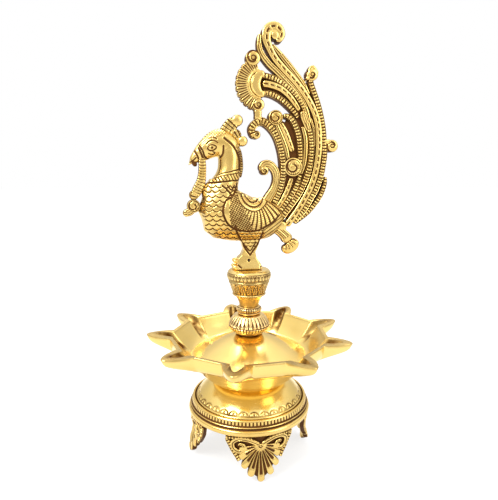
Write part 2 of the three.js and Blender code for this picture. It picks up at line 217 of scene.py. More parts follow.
def through(points, spacing):
    """Evenly spaced places on a smooth curve through the points, and its length. What a point holds past
    its first two numbers, such as a width, runs smoothly along with it."""
    knots = np.array(points, float)
    knots = np.vstack((2 * knots[0] - knots[1], knots, 2 * knots[-1] - knots[-2]))
    t = np.linspace(0, 1, 16, endpoint=False)[:, None]
    runs = [0.5 * (2 * q + (r - p) * t + (2 * p - 5 * q + 4 * r - s) * t ** 2
                   + (3 * q - p - 3 * r + s) * t ** 3)
            for p, q, r, s in zip(knots, knots[1:], knots[2:], knots[3:])]
    fine = np.vstack((*runs, knots[-2:-1]))
    lengths = np.concatenate(([0], np.cumsum(np.hypot(*np.diff(fine[:, :2], axis=0).T))))
    count = max(4, round(lengths[-1] / spacing))
    wanted = np.linspace(0, lengths[-1], count + 1)
    return np.stack([np.interp(wanted, lengths, column) for column in fine.T], axis=1), lengths[-1]


RIB_PITCH, DASH_PITCH, REED_PITCH = 2.8, 6.2, 1.9


# Each relief below says how far a band's face stands out and how dark it is, from the place along the band
# in millimetres, the place across it from -1 to 1 and the band's width.
def ribbed(along, across, width):
    """Short bars across a band, between two thin plain edges."""
    plain_edge = step_between(0.72, 0.84, abs(across))
    gap = fade(0.34, 0.8, bars(along, RIB_PITCH)) * (1 - plain_edge)
    groove = fade(0.05, 0.13, abs(abs(across) - 0.74))
    return -0.8 * np.maximum(gap, 0.7 * groove), np.maximum(gap, groove)


def quill(along, across, width):
    """A plain rounded shaft with a dashed line down its middle."""
    dash = 0.9 * step_between(0.35, 0.6, bars(along, DASH_PITCH))
    middle = fade(0.14, 0.32, abs(across))
    return -0.5 * dash * middle, dash * middle


def reeded(along, across, width):
    """Fine reeds side by side along a band."""
    reeds = np.maximum(2, np.rint(width / REED_PITCH))
    groove = fade(0.2, 0.7, abs(np.sin(math.pi * reeds * (across + 1) / 2)))
    return -0.5 * groove, groove


def plain(along, across, width):
    """A smooth band."""
    return 0 * along, 0 * along


def dark_ground_and_shadow(along, across, width):
    """A flat dark sheet: the sunk ground between bands, where the dark never gets buffed off, and also a
    painted shadow in the gap between a foot's scrolls.
    """
    return 0 * along, 1 + 0 * along


EDGE_SHARE = 0.13
EDGE_DARK, CORNER_DARK = 0.72, 0.9


def with_width(points, width):
    """Points of a band. Those with no width of their own get this one."""
    return [(*point[:2], point[2] if len(point) > 2 else width) for point in points]


def ribbon(shape, points, width, depth, relief=plain, crown=0.9, spacing=0.5, around=34):
    """A band with round ends along a curve through [x, z] points, the same on its front and its back.
    A third number in a point is the band's own width there."""
    routed, length = through(with_width(points, width), spacing)
    count = len(routed) - 1
    made = bmesh.ops.create_grid(shape, x_segments=count, y_segments=around, size=1)["verts"]
    flat = np.array([vert.co[:2] for vert in made])
    step = np.clip(np.rint((flat[:, 0] + 1) / 2 * count).astype(int), 0, count)
    turn = (flat[:, 1] + 1) % 2
    x, z, wide = routed[step].T
    tangent = np.gradient(routed[:, :2], axis=0)
    tangent = (tangent / np.linalg.norm(tangent, axis=1)[:, None])[step]
    here = length * step / count
    end = np.minimum(here, length - here) / (wide / 2)
    round_end = np.sqrt(np.clip(1 - (1 - np.minimum(end, 1)) ** 2, 0, 1))
    side = turn % 1.0
    front = np.where(turn < 1, -1.0, 1.0)
    half = depth / 2 - crown
    face = np.clip(1 - 2 * (side - EDGE_SHARE) / (1 - 2 * EDGE_SHARE), -1, 1)
    on_face = abs(face) < 1
    height, dark = relief(here, face, wide)
    rise = np.minimum(side, 1 - side) / EDGE_SHARE
    out = np.where(on_face, half + crown * np.sqrt(1 - face ** 2) + height, half * np.minimum(rise, 1))
    dark = np.where(on_face, np.maximum(dark, CORNER_DARK * step_between(0.86, 1.0, abs(face))),
                    EDGE_DARK)
    lateral = -front * face * wide / 2 * round_end
    out = front * out * np.sqrt(round_end)
    spots = np.stack((x - tangent[:, 1] * lateral, out, z + tangent[:, 0] * lateral), axis=1)
    settle(shape, made, spots, dark)


def settle(shape, verts, spots, dark):
    """Puts vertices in their places and notes how dark the metal is there."""
    patina_and_shade = shape.verts.layers.float["patina_and_shade"]
    for vert, spot, stain_and_shade in zip(verts, spots.tolist(), dark.tolist()):
        vert.co = spot
        vert[patina_and_shade] = stain_and_shade


BOSS_FACE, BOSS_EDGE, BOSS_EDGE_DARK = 0.8, 0.2, 0.7


def rosette(shape, centre, radius, depth, relief, rings=20, around=64, crown=1.2):
    """A round boss, the same on its front and its back. Its relief follows the share of the radius and
    the angle."""
    made = bmesh.ops.create_grid(shape, x_segments=around, y_segments=2 * rings, size=1)["verts"]
    flat = np.array([vert.co[:2] for vert in made])
    angle = math.pi * (flat[:, 0] + 1)
    front = np.where(flat[:, 1] < 0, -1.0, 1.0)
    share = 1 - abs(flat[:, 1])
    reach = np.minimum(share / BOSS_FACE, 1)
    height, dark = relief(reach, angle)
    on_face = share < BOSS_FACE - 0.01
    out = np.where(on_face, depth / 2 - crown + crown * np.sqrt(1 - reach ** 2) + height,
                   (depth / 2 - crown) * (1 - share) / BOSS_EDGE)
    dark = np.where(on_face, dark, BOSS_EDGE_DARK)
    spots = np.stack((centre[0] + reach * radius * np.cos(angle), front * out,
                      centre[1] + reach * radius * np.sin(angle)), axis=1)
    settle(shape, made, spots, dark)


def spiral(turns=1.5, hand=1, start=0.0):
    """A scroll end: a groove that winds in to a round eye."""
    def relief(share, angle):
        winding = (share * turns + hand * (angle - start) / (2 * math.pi)) % 1.0
        groove = np.maximum(fade(0.1, 0.24, abs(winding - 0.5)), fade(0.03, 0.1, abs(share - 0.3)))
        groove = np.where(share < 0.24, 0, groove)
        return -0.7 * groove, groove
    return relief


def new_shape():
    """An empty shape whose points can hold their patina."""
    shape = bmesh.new()
    shape.verts.layers.float.new("patina_and_shade")
    return shape


def weld(shape, near=0.02):
    """Joins what meets and turns every face outwards."""
    bmesh.ops.remove_doubles(shape, verts=shape.verts, dist=near)
    bmesh.ops.dissolve_degenerate(shape, edges=shape.edges, dist=near / 10)
    bmesh.ops.recalc_face_normals(shape, faces=shape.faces)


SHARP = math.radians(48)


def to_mesh(shape, name, carve=None):
    """A finished shape as a mesh. The carving gives new places, and the patina, from the old places."""
    mesh = bpy.data.meshes.new(name)
    shape.to_mesh(mesh)
    shape.free()
    if carve:
        places = np.empty(len(mesh.vertices) * 3)
        mesh.vertices.foreach_get("co", places)
        spots, dark = carve(places.reshape(-1, 3))
        mesh.vertices.foreach_set("co", spots.ravel())
        if dark is not None:
            mesh.attributes["patina_and_shade"].data.foreach_set("value", dark.astype(np.float32))
    return mesh


def piece(mesh, name, material, body, slot, *nodes, place=None):
    """Makes a mesh in millimetres a piece of the lamp."""
    mesh.transform(Matrix.Scale(MM, 4) @ (place or Matrix.Identity(4)))
    mesh.shade_smooth()
    mesh.set_sharp_from_angle(angle=SHARP)
    mesh.materials.append(material)
    made = bpy.data.objects.new(name, mesh)
    bpy.context.scene.collection.objects.link(made)
    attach(made, body)
    if nodes:
        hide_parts(*nodes)


FOOT_RADIUS = 58.0
FOOT_DEPTH = 6.4
FOOT_TOP = 44.2
FOOT_FRONT = [(0, 61.4), (6, 62), (13, 60.6), (22, 58.4), (30, 58.2), (38, 59.4), (FOOT_TOP, 60.2)]
SHELL_TOP = 35.5
FLUTE_SWING = math.radians(18.5)
FLUTE_REACH = [35.5, 31, 27.5, 24, 20.5]
FLUTE_ENDS = [(0.08, 1.8), (0.5, 4.2), (0.85, 6.4), (1.0, 6.2)]
SCROLL = [(1, 35.4, 4.6), (6.5, 38.6, 4.4), (13, 41.2, 4.2), (20.5, 41.2, 4.2), (25.6, 37, 4.2),
    (25, 31, 4.0), (19.8, 28.2, 3.8), (15.4, 30.8, 3.6), (15.4, 35, 3.2), (18.6, 36.4, 2.8),
    (20, 34.2, 2.4)]
SCROLL_RIM = [(2.5, 38.4, 2.2), (9, 42, 2.6), (17, 43.2, 2.6), (24.5, 42.4, 2.6), (32.5, 42.2, 2.8)]
SIDE_BAR = [(31.5, 41.4, 4.2), (29, 36, 4.8), (26, 29.5, 4.6), (22.2, 24, 4.4), (19.4, 19, 3.4)]
SHELL_GROUND = [(0, 34, 8), (0, 27, 23), (0, 17, 27), (0, 8.5, 15), (0, 4, 8)]
LUG_SIZE, LUG_PLACE = (22, 8.5, 2.9), (0, 5.6, 42.7)


def dished(reach):
    """A flute of the shell: its hollow ends short of the rounded tip."""
    def relief(along, across, width):
        tip = step_between(reach - 9, reach - 6.5, along)
        hollow = fade(0.3, 0.7, abs(across)) * (1 - tip) * step_between(2, 6, along)
        return -1.0 * hollow, 0.9 * hollow
    return relief


def two_reeds(along, across, width):
    """A band split in two by one groove."""
    groove = fade(0.08, 0.26, abs(across - 0.1))
    return -0.6 * groove, groove


def bend_round_base(places):
    """Turns the flat casting into one that follows the ring, and leans its front in and out."""
    x, y, z = places.T
    z = np.clip(z, 0, FOOT_TOP)
    radius = np.interp(z, *zip(*FOOT_FRONT)) - FOOT_DEPTH / 2 - y
    angle = x / FOOT_RADIUS
    return np.stack((radius * np.sin(angle), -radius * np.cos(angle), z), axis=1), None


foot = new_shape()
for number in range(-4, 5):
    swing = FLUTE_SWING * number
    reach = FLUTE_REACH[abs(number)]
    ends = [(share * reach * math.sin(swing), SHELL_TOP - share * reach * math.cos(swing), wide)
            for share, wide in FLUTE_ENDS]
    ribbon(foot, ends, 4, FOOT_DEPTH, dished(0.92 * reach), crown=1.3, around=26)
ribbon(foot, SHELL_GROUND, 20, FOOT_DEPTH - 3.4, dark_ground_and_shadow, crown=0.2, spacing=1.2, around=16)
for side in (1, -1):
    ribbon(foot, [(side * x, z, w) for x, z, w in SCROLL], 4, FOOT_DEPTH, two_reeds, crown=1.1)
    ribbon(foot, [(side * x, z, w) for x, z, w in SCROLL_RIM], 3, FOOT_DEPTH + 0.4, ribbed, crown=0.9)
    ribbon(foot, [(side * x, z, w) for x, z, w in SIDE_BAR], 5, FOOT_DEPTH - 0.8, ribbed, crown=0.8)
    ribbon(foot, [(side * 4, 36), (side * 14, 36), (side * 25, 35)], 11, FOOT_DEPTH - 4.4, dark_ground_and_shadow,
           crown=0.2, spacing=1.5, around=16)
# A dark sheet across the gap between the two scrolls, under the ring: a painted shadow where the gap is in
# shade.
ribbon(foot, [(-7, 40.4), (0, 40), (7, 40.4)], 7, FOOT_DEPTH - 4, dark_ground_and_shadow, crown=0.2, spacing=1.5,
       around=16)
rosette(foot, (0, 34.6), 3.2, FOOT_DEPTH + 1, spiral(), rings=8, around=30)
weld(foot)
lug = bmesh.ops.create_cube(foot, size=1)["verts"]
bmesh.ops.scale(foot, vec=LUG_SIZE, verts=lug)
bmesh.ops.translate(foot, vec=LUG_PLACE, verts=lug)
foot_mesh = to_mesh(foot, "foot_casting", bend_round_base)

cast_foot_brass = antique_brass("cast_foot_brass", BRASS_BRIGHT, BRASS_DEEP)
for number, side in enumerate(("front", "right", "back", "left")):
    piece(foot_mesh.copy(), f"foot_{side}_casting", cast_foot_brass, "base", "antique_brass",
          f"foot_{side}", place=Matrix.Rotation(number * math.pi / 2, 4, "Z"))
bpy.data.meshes.remove(foot_mesh)

# ----- The screws, the studs and the pin -----
# Plain steel, turned and left as machined. Four screws hold the feet up into the ring, three studs join
# the dish, the stem and the finial, and a pin locks the finial. Little of them shows.

STEEL_GREY = "#A9A7A2"
LATHE_LINES_PER_METRE = 900.0  # one in 1.1 mm, coarser than the real ones so that they show
OIL_SPOTS_PER_METRE = 300.0
STEEL_PIECES = ("foot_screw_front", "foot_screw_right", "foot_screw_back", "foot_screw_left",
                "dish_stud", "stem_stud", "finial_stud")


def coat(name, material):
    """Gives a piece of the frame that stays a better material."""
    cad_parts[name].data.materials.clear()
    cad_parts[name].data.materials.append(material)


# Mild steel off the lathe: grey, with rings left by the tool and a film of oil that dulls it in spots.
machined_steel, tree, output = new_material("machined_steel")
place = add(tree, "TexCoord").outputs["Object"]
lathe_marks = add(tree, "TexWave", {"Vector": place, "Scale": LATHE_LINES_PER_METRE, "Distortion": 1.5},
                  bands_direction="Z")
marks = add(tree, "Bump", {"Height": lathe_marks.outputs["Fac"], "Distance": 0.1 * MM, "Strength": 0.5})
oil_film = add(tree, "TexNoise", {"Vector": place, "Scale": OIL_SPOTS_PER_METRE, "Detail": 4.0})
dull = add(tree, "MapRange", {"Value": oil_film.outputs["Fac"], "To Min": 0.28, "To Max": 0.5})
steel = add(tree, "BsdfPrincipled", {"Base Color": linear(STEEL_GREY), "Metallic": 1.0,
                                     "Roughness": dull.outputs[0], "Normal": marks.outputs[0]})
tree.links.new(steel.outputs["BSDF"], output.inputs["Surface"])
for fastener in STEEL_PIECES:
    coat(fastener, machined_steel)

# The pin through the finial is steel too, but black with oxide: heat and lamp oil have baked on to it.
BAKED_BLACK = "#1A130C"
CRUST_PER_METRE = 900.0
blued_steel, tree, output = new_material("blued_steel")
place = add(tree, "TexCoord").outputs["Object"]
crust = add(tree, "TexNoise", {"Vector": place, "Scale": CRUST_PER_METRE, "Detail": 4.0})
pitted = add(tree, "Bump", {"Height": crust.outputs["Fac"], "Distance": 0.1 * MM, "Strength": 0.6})
steel = add(tree, "BsdfPrincipled", {"Base Color": linear(BAKED_BLACK), "Metallic": 0.4, "Roughness": 0.7,
                                     "Normal": pitted.outputs[0]})
tree.links.new(steel.outputs["BSDF"], output.inputs["Surface"])
coat("finial_pin", blued_steel)

# ----- The base ring -----
# A brass ring turned on a lathe, with a rounded flange, a groove and a band of fine knurled ribs. It
# carries the dome on an inner ledge. The grooves hold dark patina that the buffing wheel doesn't reach.

RIB_COUNT = 108
RING_OUTLINE = [(47, 44.5), (59.8, 44.5), (60.5, 44.9), (60.9, 46), (60.95, 47.4), (60.7, 48.6),
    (60, 49.4), (58.9, 49.8), (58.2, 50.2), (57.9, 50.9), (58.3, 51.4), (59, 51.7), (59.2, 52.2),
    (58.9, 52.7), (58.1, 53), (57.7, 53.4), (57.6, 53.9), (57.6, 54.8), (57.5, 55.7), (57.4, 56.6),
    (57.2, 57.3), (56.8, 57.9), (56.2, 58.4), (55.5, 58.6), (54.9, 58.3), (54.5, 57.6), (54.4, 52.2),
    (47, 52.2)]


def spun(rows, sectors, steps):
    """Spins a closed loop of [radius, height] corners round the lamp's axis: a sector, then its copies."""
    shape = new_shape()
    corners = [shape.verts.new((0, -radius, height)) for radius, height in rows]
    edges = [shape.edges.new(pair) for pair in zip(corners, corners[1:] + corners[:1])]
    bmesh.ops.spin(shape, geom=corners + edges, cent=(0, 0, 0), axis=(0, 0, 1), dvec=(0, 0, 0),
                   angle=2 * math.pi / sectors, steps=steps, use_merge=False)
    bmesh.ops.spin(shape, geom=shape.verts[:] + shape.edges[:] + shape.faces[:], cent=(0, 0, 0),
                   axis=(0, 0, 1), dvec=(0, 0, 0), angle=2 * math.pi * (sectors - 1) / sectors,
                   steps=sectors - 1, use_duplicate=True)
    return shape


def turned(outline, sectors, steps, fine=1.0):
    """A turned piece from its closed outline of [radius, height] points."""
    rows = []
    for a, b in zip(outline, outline[1:] + outline[:1]):
        parts = max(1, round(math.dist(a, b) / fine))
        rows += [(a[0] + (b[0] - a[0]) * i / parts, a[1] + (b[1] - a[1]) * i / parts)
                 for i in range(parts)]
    shape = spun(rows, sectors, steps)
    weld(shape, near=0.002)
    return shape


def round_axis(relief):
    """A carving on a turned piece: the relief gives how far the metal moves out and up, and its patina,
    from the radius, the height and the angle."""
    def carve(places):
        x, y, z = places.T
        radius = np.hypot(x, y)
        out, up, dark = relief(radius, z, np.arctan2(x, -y))
        scale = (radius + out) / radius
        return np.stack((x * scale, y * scale, z + up), axis=1), dark
    return carve


def deepest(*cuts):
    """The deepest of several cuts, place by place."""
    return np.maximum.reduce(cuts)


def ring_relief(radius, z, angle):
    """Knurled ribs on the upper band, with patina between them and in the grooves on both sides."""
    dark = deepest(fade(0.5, 1.2, abs(z - 50.6)), fade(0.3, 0.8, abs(z - 53.3)),
                   fade(0.4, 0.9, np.hypot(radius - 54.6, z - 57.6)))
    banded = step_between(53.4, 53.9, z) * fade(56.6, 57.2, z) * (radius > 56.9)
    gap = fade(0.3, 0.75, abs(np.sin(RIB_COUNT * angle / 2))) * banded
    dark = np.where(radius < 54.45, 0.9, np.maximum(dark, gap))
    return -0.6 * gap, 0 * z, dark


turned_ring_brass = antique_brass("turned_ring_brass", BRASS_BRIGHT, BRASS_DEEP, grain_mm=3)
ring = to_mesh(turned(RING_OUTLINE, RIB_COUNT // 6, 48, fine=1.8), "base_ring", round_axis(ring_relief))
piece(ring, "base_ring_turned", turned_ring_brass, "base", "turned_brass", "base_ring")

# ----- The pedestal dome -----
# A hollow brass dome, cast, turned and buffed to a mirror. A border of small arches is chased round
# its lower edge with a punch, and blacked.

MOTIF_COUNT = 34
DOME_OUTLINE = [(51, 52.4), (54, 52.4), (54, 56.4), (53.4, 58.2), (52.2, 60.2), (50.6, 62.2),
    (48.6, 64.3), (46, 66.8), (43, 69.4), (39.8, 71.8), (36.5, 73.6), (33, 74.7), (28, 74.9), (4.4, 75),
    (4.4, 62), (9, 62), (9, 72), (29.5, 71.6), (36, 69), (41.5, 65.6), (46.6, 61.6), (50, 57.8),
    (51, 56)]
BORDER_BOTTOM = 57.5


BUFFED_BRIGHT, BUFFED_DEEP, LAMP_BROWN_AND_SHADE = "#F6D98C", "#EBC76E", "#5A340C"
SHEEN_BEST, SHEEN_WORST, BROWN_ROUGH = 0.15, 0.29, 0.6
HAZE_PER_METRE = 28.0  # one cloud in 36 mm
WIPES_PER_METRE = 70.0  # one in 14 mm
WHEEL_MARKS_PER_METRE = 1400.0  # one in 0.7 mm, coarser than the real ones so that they show


def polished_brass(name):
    """Brass buffed on a cloth wheel: almost a mirror, with faint cloudy smears and fine wheel marks. Where
    the attribute "patina" is above 0 it stays browner and duller."""
    material, tree, output = new_material(name)
    place = add(tree, "TexCoord").outputs["Object"]
    cloud = add(tree, "TexNoise", {"Vector": place, "Scale": HAZE_PER_METRE, "Detail": 4.0})
    metal = add(tree, "Mix", {0: cloud.outputs["Fac"], 6: linear(BUFFED_DEEP), 7: linear(BUFFED_BRIGHT)},
                data_type="RGBA")
    smear = add(tree, "TexNoise", {"Vector": place, "Scale": WIPES_PER_METRE, "Detail": 6.0})
    wheel = add(tree, "TexNoise", {"Vector": place, "Scale": WHEEL_MARKS_PER_METRE, "Detail": 2.0})
    marks = add(tree, "Bump", {"Height": wheel.outputs["Fac"], "Distance": 0.04 * MM, "Strength": 0.2})
    # The same attribute also carries painted shade in the slot where each of the dish's channels meets the
    # bowl, drawn in the same brown.
    patina_and_shade = add(tree, "Attribute", attribute_name="patina_and_shade")
    rubbed = add(tree, "MapRange", {"Value": smear.outputs["Fac"], "From Min": 0.35, "From Max": 0.6,
                                    "To Min": 0.45, "To Max": 1.0})
    stain_and_shade = add(tree, "Math", {0: patina_and_shade.outputs["Fac"], 1: rubbed.outputs[0]}, operation="MULTIPLY")
    colour = add(tree, "Mix", {0: stain_and_shade.outputs[0], 6: metal.outputs[2], 7: linear(LAMP_BROWN_AND_SHADE)},
                 data_type="RGBA")
    sheen = add(tree, "MapRange", {"Value": smear.outputs["Fac"], "From Min": 0.3, "From Max": 0.75,
                                   "To Min": SHEEN_BEST, "To Max": SHEEN_WORST})
    rough = add(tree, "Mix", {0: stain_and_shade.outputs[0], 2: sheen.outputs[0], 3: BROWN_ROUGH})
    brass = add(tree, "BsdfPrincipled", {"Base Color": colour.outputs[2], "Roughness": rough.outputs[0],
                                         "Metallic": 1.0, "Normal": marks.outputs[0]})
    tree.links.new(brass.outputs["BSDF"], output.inputs["Surface"])
    return material


def dome_border(radius, z, angle):
    """Small scallops with a bud inside, 9 mm apart, that stand on a fine line near the dome's foot."""
    rise = (53.3 - radius) * 1.35 - 0.4
    pitch = 2 * math.pi * 51 / MOTIF_COUNT
    side = abs((angle * MOTIF_COUNT / (2 * math.pi)) % 1.0 - 0.5) * pitch
    arch = abs(np.hypot(side * 0.82, rise - 0.8) - 3.3)
    bud = np.hypot(side, (rise - 1.9) * 0.7) - 0.5
    nearest_line = np.minimum.reduce((arch, bud, abs(rise - 0.5)))
    cut = fade(0.25, 0.7, nearest_line)
    cut *= step_between(0.0, 0.3, rise) * fade(5.4, 5.8, rise)
    cut = np.where((z > BORDER_BOTTOM) & (radius > 44), cut, 0)
    return -0.3 * cut, -0.3 * cut, cut


buffed_dome_brass = polished_brass("buffed_dome_brass")
dome = turned(DOME_OUTLINE, MOTIF_COUNT, 26, fine=3.0)
border = []
for edge in dome.edges:
    bottom, top = sorted(vert.co.z for vert in edge.verts)
    inner, outer = sorted(vert.co.to_2d().length for vert in edge.verts)
    if bottom > BORDER_BOTTOM and top - bottom > 0.2 and inner > 45 and outer > 48.5:
        border.append(edge)
bmesh.ops.subdivide_edges(dome, edges=border, cuts=4, use_grid_fill=True)
dome = to_mesh(dome, "pedestal_dome", round_axis(dome_border))
piece(dome, "pedestal_dome_buffed", buffed_dome_brass, "base", "polished_brass", "pedestal_dome")

# ----- The dish -----
# One brass casting, buffed to a mirror: a bowl with a raised middle and nine spouts, each with a narrow
# channel where a wick lies. The channels and the lips keep the grain and the brown of the casting, and
# the slot where each channel meets the bowl is darkened further with painted shade.

SPOUT_COUNT = 9
SPOUT_FIRST = math.radians(-17.7)
SPOUT_STEPS = 72
SPOUT_HALF, CHANNEL_HALF = 9.7, 4.8
SPOUT_NOSE = 0.14
SPOUT_TAPER = 2.4
STEP_SPREAD = 1.557
HALF_SHARE = 180 / SPOUT_COUNT
# Each row is [radius, height] between two spouts, then the same along the middle of a spout. The rows
# under the foot, in the middle and in the hub run round with no spout, so they give theirs once.
FOOT_RIM = [[30.4, 75.3], [33.2, 75.3]]
HULL = [[33.5, 75.7], [40, 77.6], [47, 83.6], [55.4, 92], [66, 101.2, 66.4, 101.3],
        [73, 105.4, 79.5, 106.2], [76.8, 110, 91, 110.6], [77.9, 114.5, 98.2, 114.8],
        [78.2, 119.6, 101.4, 120.6]]
RIM = [[77.7, 120.2, 100.8, 121.4], [76.2, 120.2, 92.6, 121.3]]
BOWL = [[75.6, 119.7, 92.2, 120.9], [74.3, 117.6, 90.6, 119], [71.6, 114.1, 86.6, 116],
        [68.6, 110.6, 81, 113], [65.4, 107, 73.6, 109.4], [62, 103.7, 66, 105], [58.8, 101.3, 59.6, 101.6],
        [55.8, 100.5], [52.6, 101.9], [48, 104.6], [40, 108.9], [28, 114.6], [14, 120.1]]
HUB = [[12.5, 120.5], [4.4, 120.5], [4.4, 90], [8.6, 90], [8.6, 117.4], [42, 104.6], [49, 98.6], [33.5, 84]]
HULL_FINE, BOWL_FINE = 1.9, 1.7


def even(rows):
    """The rows with both halves written out."""
    return [row * 2 if len(row) == 2 else row for row in rows]


def sections():
    """Rows of [radius, height] between two spouts and along one, and whether each is on the outside."""
    runs = [(even(FOOT_RIM), True), (through(even(HULL), HULL_FINE)[0].tolist(), True), (RIM[:1], True),
            (RIM[1:], False), (through(even(BOWL), BOWL_FINE)[0].tolist(), False), (even(HUB), False)]
    return np.array([(*row, outside) for rows, outside in runs for row in rows])


def shape_spouts(places):
    """Pushes the plain bowl out into spouts, straightens the walls between them, browns the channels and
    lips and paints shade into the slot where each channel meets the bowl. Each point's height is the
    number of its row, as spun."""
    x, y, z = places.T
    row = np.rint(z).astype(int)
    r0, z0, r1, z1, outside = rows[row].T
    turn = np.arctan2(x, -y) / (2 * math.pi) * SPOUT_COUNT
    offset = (turn - np.rint(turn)) * 2
    angle = HALF_SHARE * np.sign(offset) * abs(offset) ** STEP_SPREAD
    half = np.where(outside > 0, SPOUT_HALF, CHANNEL_HALF)
    aside = np.minimum(abs(angle) / half, 1)
    share = 1 - (1 + SPOUT_NOSE) * aside ** SPOUT_TAPER / (aside + SPOUT_NOSE)
    from_gap = np.radians(np.minimum(HALF_SHARE - abs(angle), HALF_SHARE - half))
    flat = np.cos(np.radians(HALF_SHARE - half)) / np.cos(from_gap)
    chord = 1 + (flat / flat.max() - 1) * step_between(57, 74, r0)
    radius = np.where(share > 0, r0 + share * (r1 - r0), r0 * chord)
    height = z0 + share * (z1 - z0)
    around = SPOUT_FIRST + np.radians(angle) + np.rint(turn) * 2 * math.pi / SPOUT_COUNT
    lip = step_between(0.25, 0.45, share) * (height > 120) * (outside > 0)
    # Partly patina and partly painted shade: the slot where each channel meets the bowl is brown and is
    # darkened further as if in shadow.
    slot = step_between(0.02, 0.28, share) * step_between(101.5, 105, height) * (outside == 0) * (r0 > 60)
    edge = 0.45 * (abs(height - 120.6) < 0.9) * (r0 > 75)
    dark = deepest(0.5 * lip, slot, edge)
    return np.stack((radius * np.sin(around), -radius * np.cos(around), height), axis=1), dark


rows = sections()
dish = spun([(20 + i / 10, i) for i in range(len(rows))], SPOUT_COUNT, SPOUT_STEPS)
weld(dish, near=0.002)
dish = to_mesh(dish, "dish", shape_spouts)

# Its rows were stacked by number when they were spun, so which way is outwards is only known now.
dish_shape = bmesh.new()
dish_shape.from_mesh(dish)
bmesh.ops.recalc_face_normals(dish_shape, faces=dish_shape.faces)
dish_shape.to_mesh(dish)
dish_shape.free()
buffed_dish_brass = polished_brass("buffed_dish_brass")
piece(dish, "dish_buffed", buffed_dish_brass, "dish", "polished_brass", "dish")

# ----- The lotus collar -----
# A cast brass lotus: two rows of narrow petals point up its waist over a beaded lower edge. It has been
# dipped dark and buffed hard, so its petals shine almost silver against brown gaps.

COLLAR_OUTLINE = [(3.4, 120.8), (11.6, 120.8), (12.8, 121.2), (15.2, 123), (17.8, 125.2), (19.7, 127.3),
    (20.4, 129.2), (20.3, 131), (19.4, 133.2), (17.9, 135.8), (16.2, 138.2), (14.4, 140.2),
    (13.4, 140.8), (3.4, 140.8)]
PETAL_COUNT = 30


def collar_relief(radius, z, angle):
    """Two rows of petals above a fine ring, a row of beads under it, and painted shade on the underside."""
    outer = radius > 10
    phase = PETAL_COUNT * angle / (2 * math.pi)
    petal = fade(0.1, 0.6, abs(np.sin(math.pi * phase))) * step_between(129.6, 130.4, z)
    petal *= fade(139, 140.4, z)
    shifted = abs((phase + 0.5) % 1.0 - 0.5) * 2
    second = fade(0.06, 0.2, abs(shifted - np.clip((137 - z) / 7, 0, 1) * 0.8))
    second *= step_between(131, 132, z) * fade(136.5, 137, z)
    bead = fade(0.15, 0.7, abs(np.sin(math.pi * phase * 1.4))) * step_between(126, 126.8, z)
    bead *= fade(128.8, 129.6, z)
    ring = np.maximum(fade(0.1, 0.5, abs(z - 129.9)), fade(0.1, 0.5, abs(z - 125.6)))
    # Painted shade: the lower flank of the collar, which faces down towards the dish, is darkened as if in
    # shadow.
    low = np.maximum(0, fade(121.2, 124, z)) * 0.5
    cut = deepest(petal, 0.7 * second, bead, 0.8 * ring) * outer
    return -0.75 * cut, 0 * z, np.maximum(cut, low * outer)


COLLAR_BRIGHT, COLLAR_DEEP = "#F6DCA0", "#D8AE62"
cast_collar_brass = antique_brass("cast_collar_brass", COLLAR_BRIGHT, COLLAR_DEEP)
collar = to_mesh(turned(COLLAR_OUTLINE, PETAL_COUNT, 16, fine=0.75), "lotus_collar",
                 round_axis(collar_relief))
piece(collar, "lotus_collar_casting", cast_collar_brass, "stem", "antique_brass", "lotus_collar")

# ----- The bead ring -----
# A small turned brass ring, knurled into a string of beads, that sits between the lotus and the urn.

BEAD_OUTLINE = [(3.4, 141.1), (10.4, 141.1), (11.2, 141.8), (11.4, 142.8), (11.2, 143.6), (11.9, 144.2),
    (12.5, 145.2), (12.6, 146.2), (12.3, 147.2), (11.5, 148), (10.9, 148.6), (10.2, 149.2),
    (3.4, 149.2)]
BEAD_COUNT = 32


def bead_relief(radius, z, angle):
    """A belt of beads between two dark lines."""
    belt = step_between(143.6, 144.2, z) * fade(147.6, 148.1, z) * (radius > 10)
    gap = fade(0.2, 0.75, abs(np.sin(BEAD_COUNT * angle / 2)))
    lines = np.maximum(fade(0.1, 0.45, abs(z - 143.7)), fade(0.1, 0.5, abs(z - 148.2)))
    cut = np.maximum(gap * belt, lines * (radius > 9.9))
    return -0.8 * gap * belt, 0 * z, cut


bead_ring = to_mesh(turned(BEAD_OUTLINE, BEAD_COUNT, 12, fine=0.6), "bead_ring",
                    round_axis(bead_relief))
piece(bead_ring, "bead_ring_knurled", cast_collar_brass, "stem", "antique_brass", "bead_ring")

# ----- The urn -----
# A cast and turned brass knop shaped as an urn. Its cup is left smooth; above a knurled line come a band
# of chased leaves, a groove and a rim cut with small triangles, all blacked and then buffed.

URN_OUTLINE = [(3.4, 149.5), (9.1, 149.5), (9.6, 151), (10.5, 154), (11.7, 156.8), (13.1, 159),
    (14.3, 160.2), (15.9, 160.6), (16.5, 161.3), (16.3, 162.1), (15.9, 162.6), (16.5, 164.2),
    (17.6, 167.4), (18.7, 170.4), (19.7, 173), (20.3, 174.2), (20, 175), (19.8, 175.6), (20.7, 176.3),
    (21.2, 177.6), (21.5, 179.6), (21.3, 181.8), (20.7, 183.6), (19.8, 184.8), (18.4, 185.8),
    (16.5, 186.2), (3.4, 186.2)]
LEAF_COUNT = 18
KNURL_COUNT = 52
URN_LINES = (160.1, 162.7, 174.3, 175.5, 176.9, 183)
URN_BRIGHT, URN_DEEP = "#F8DF98", "#DDB45E"


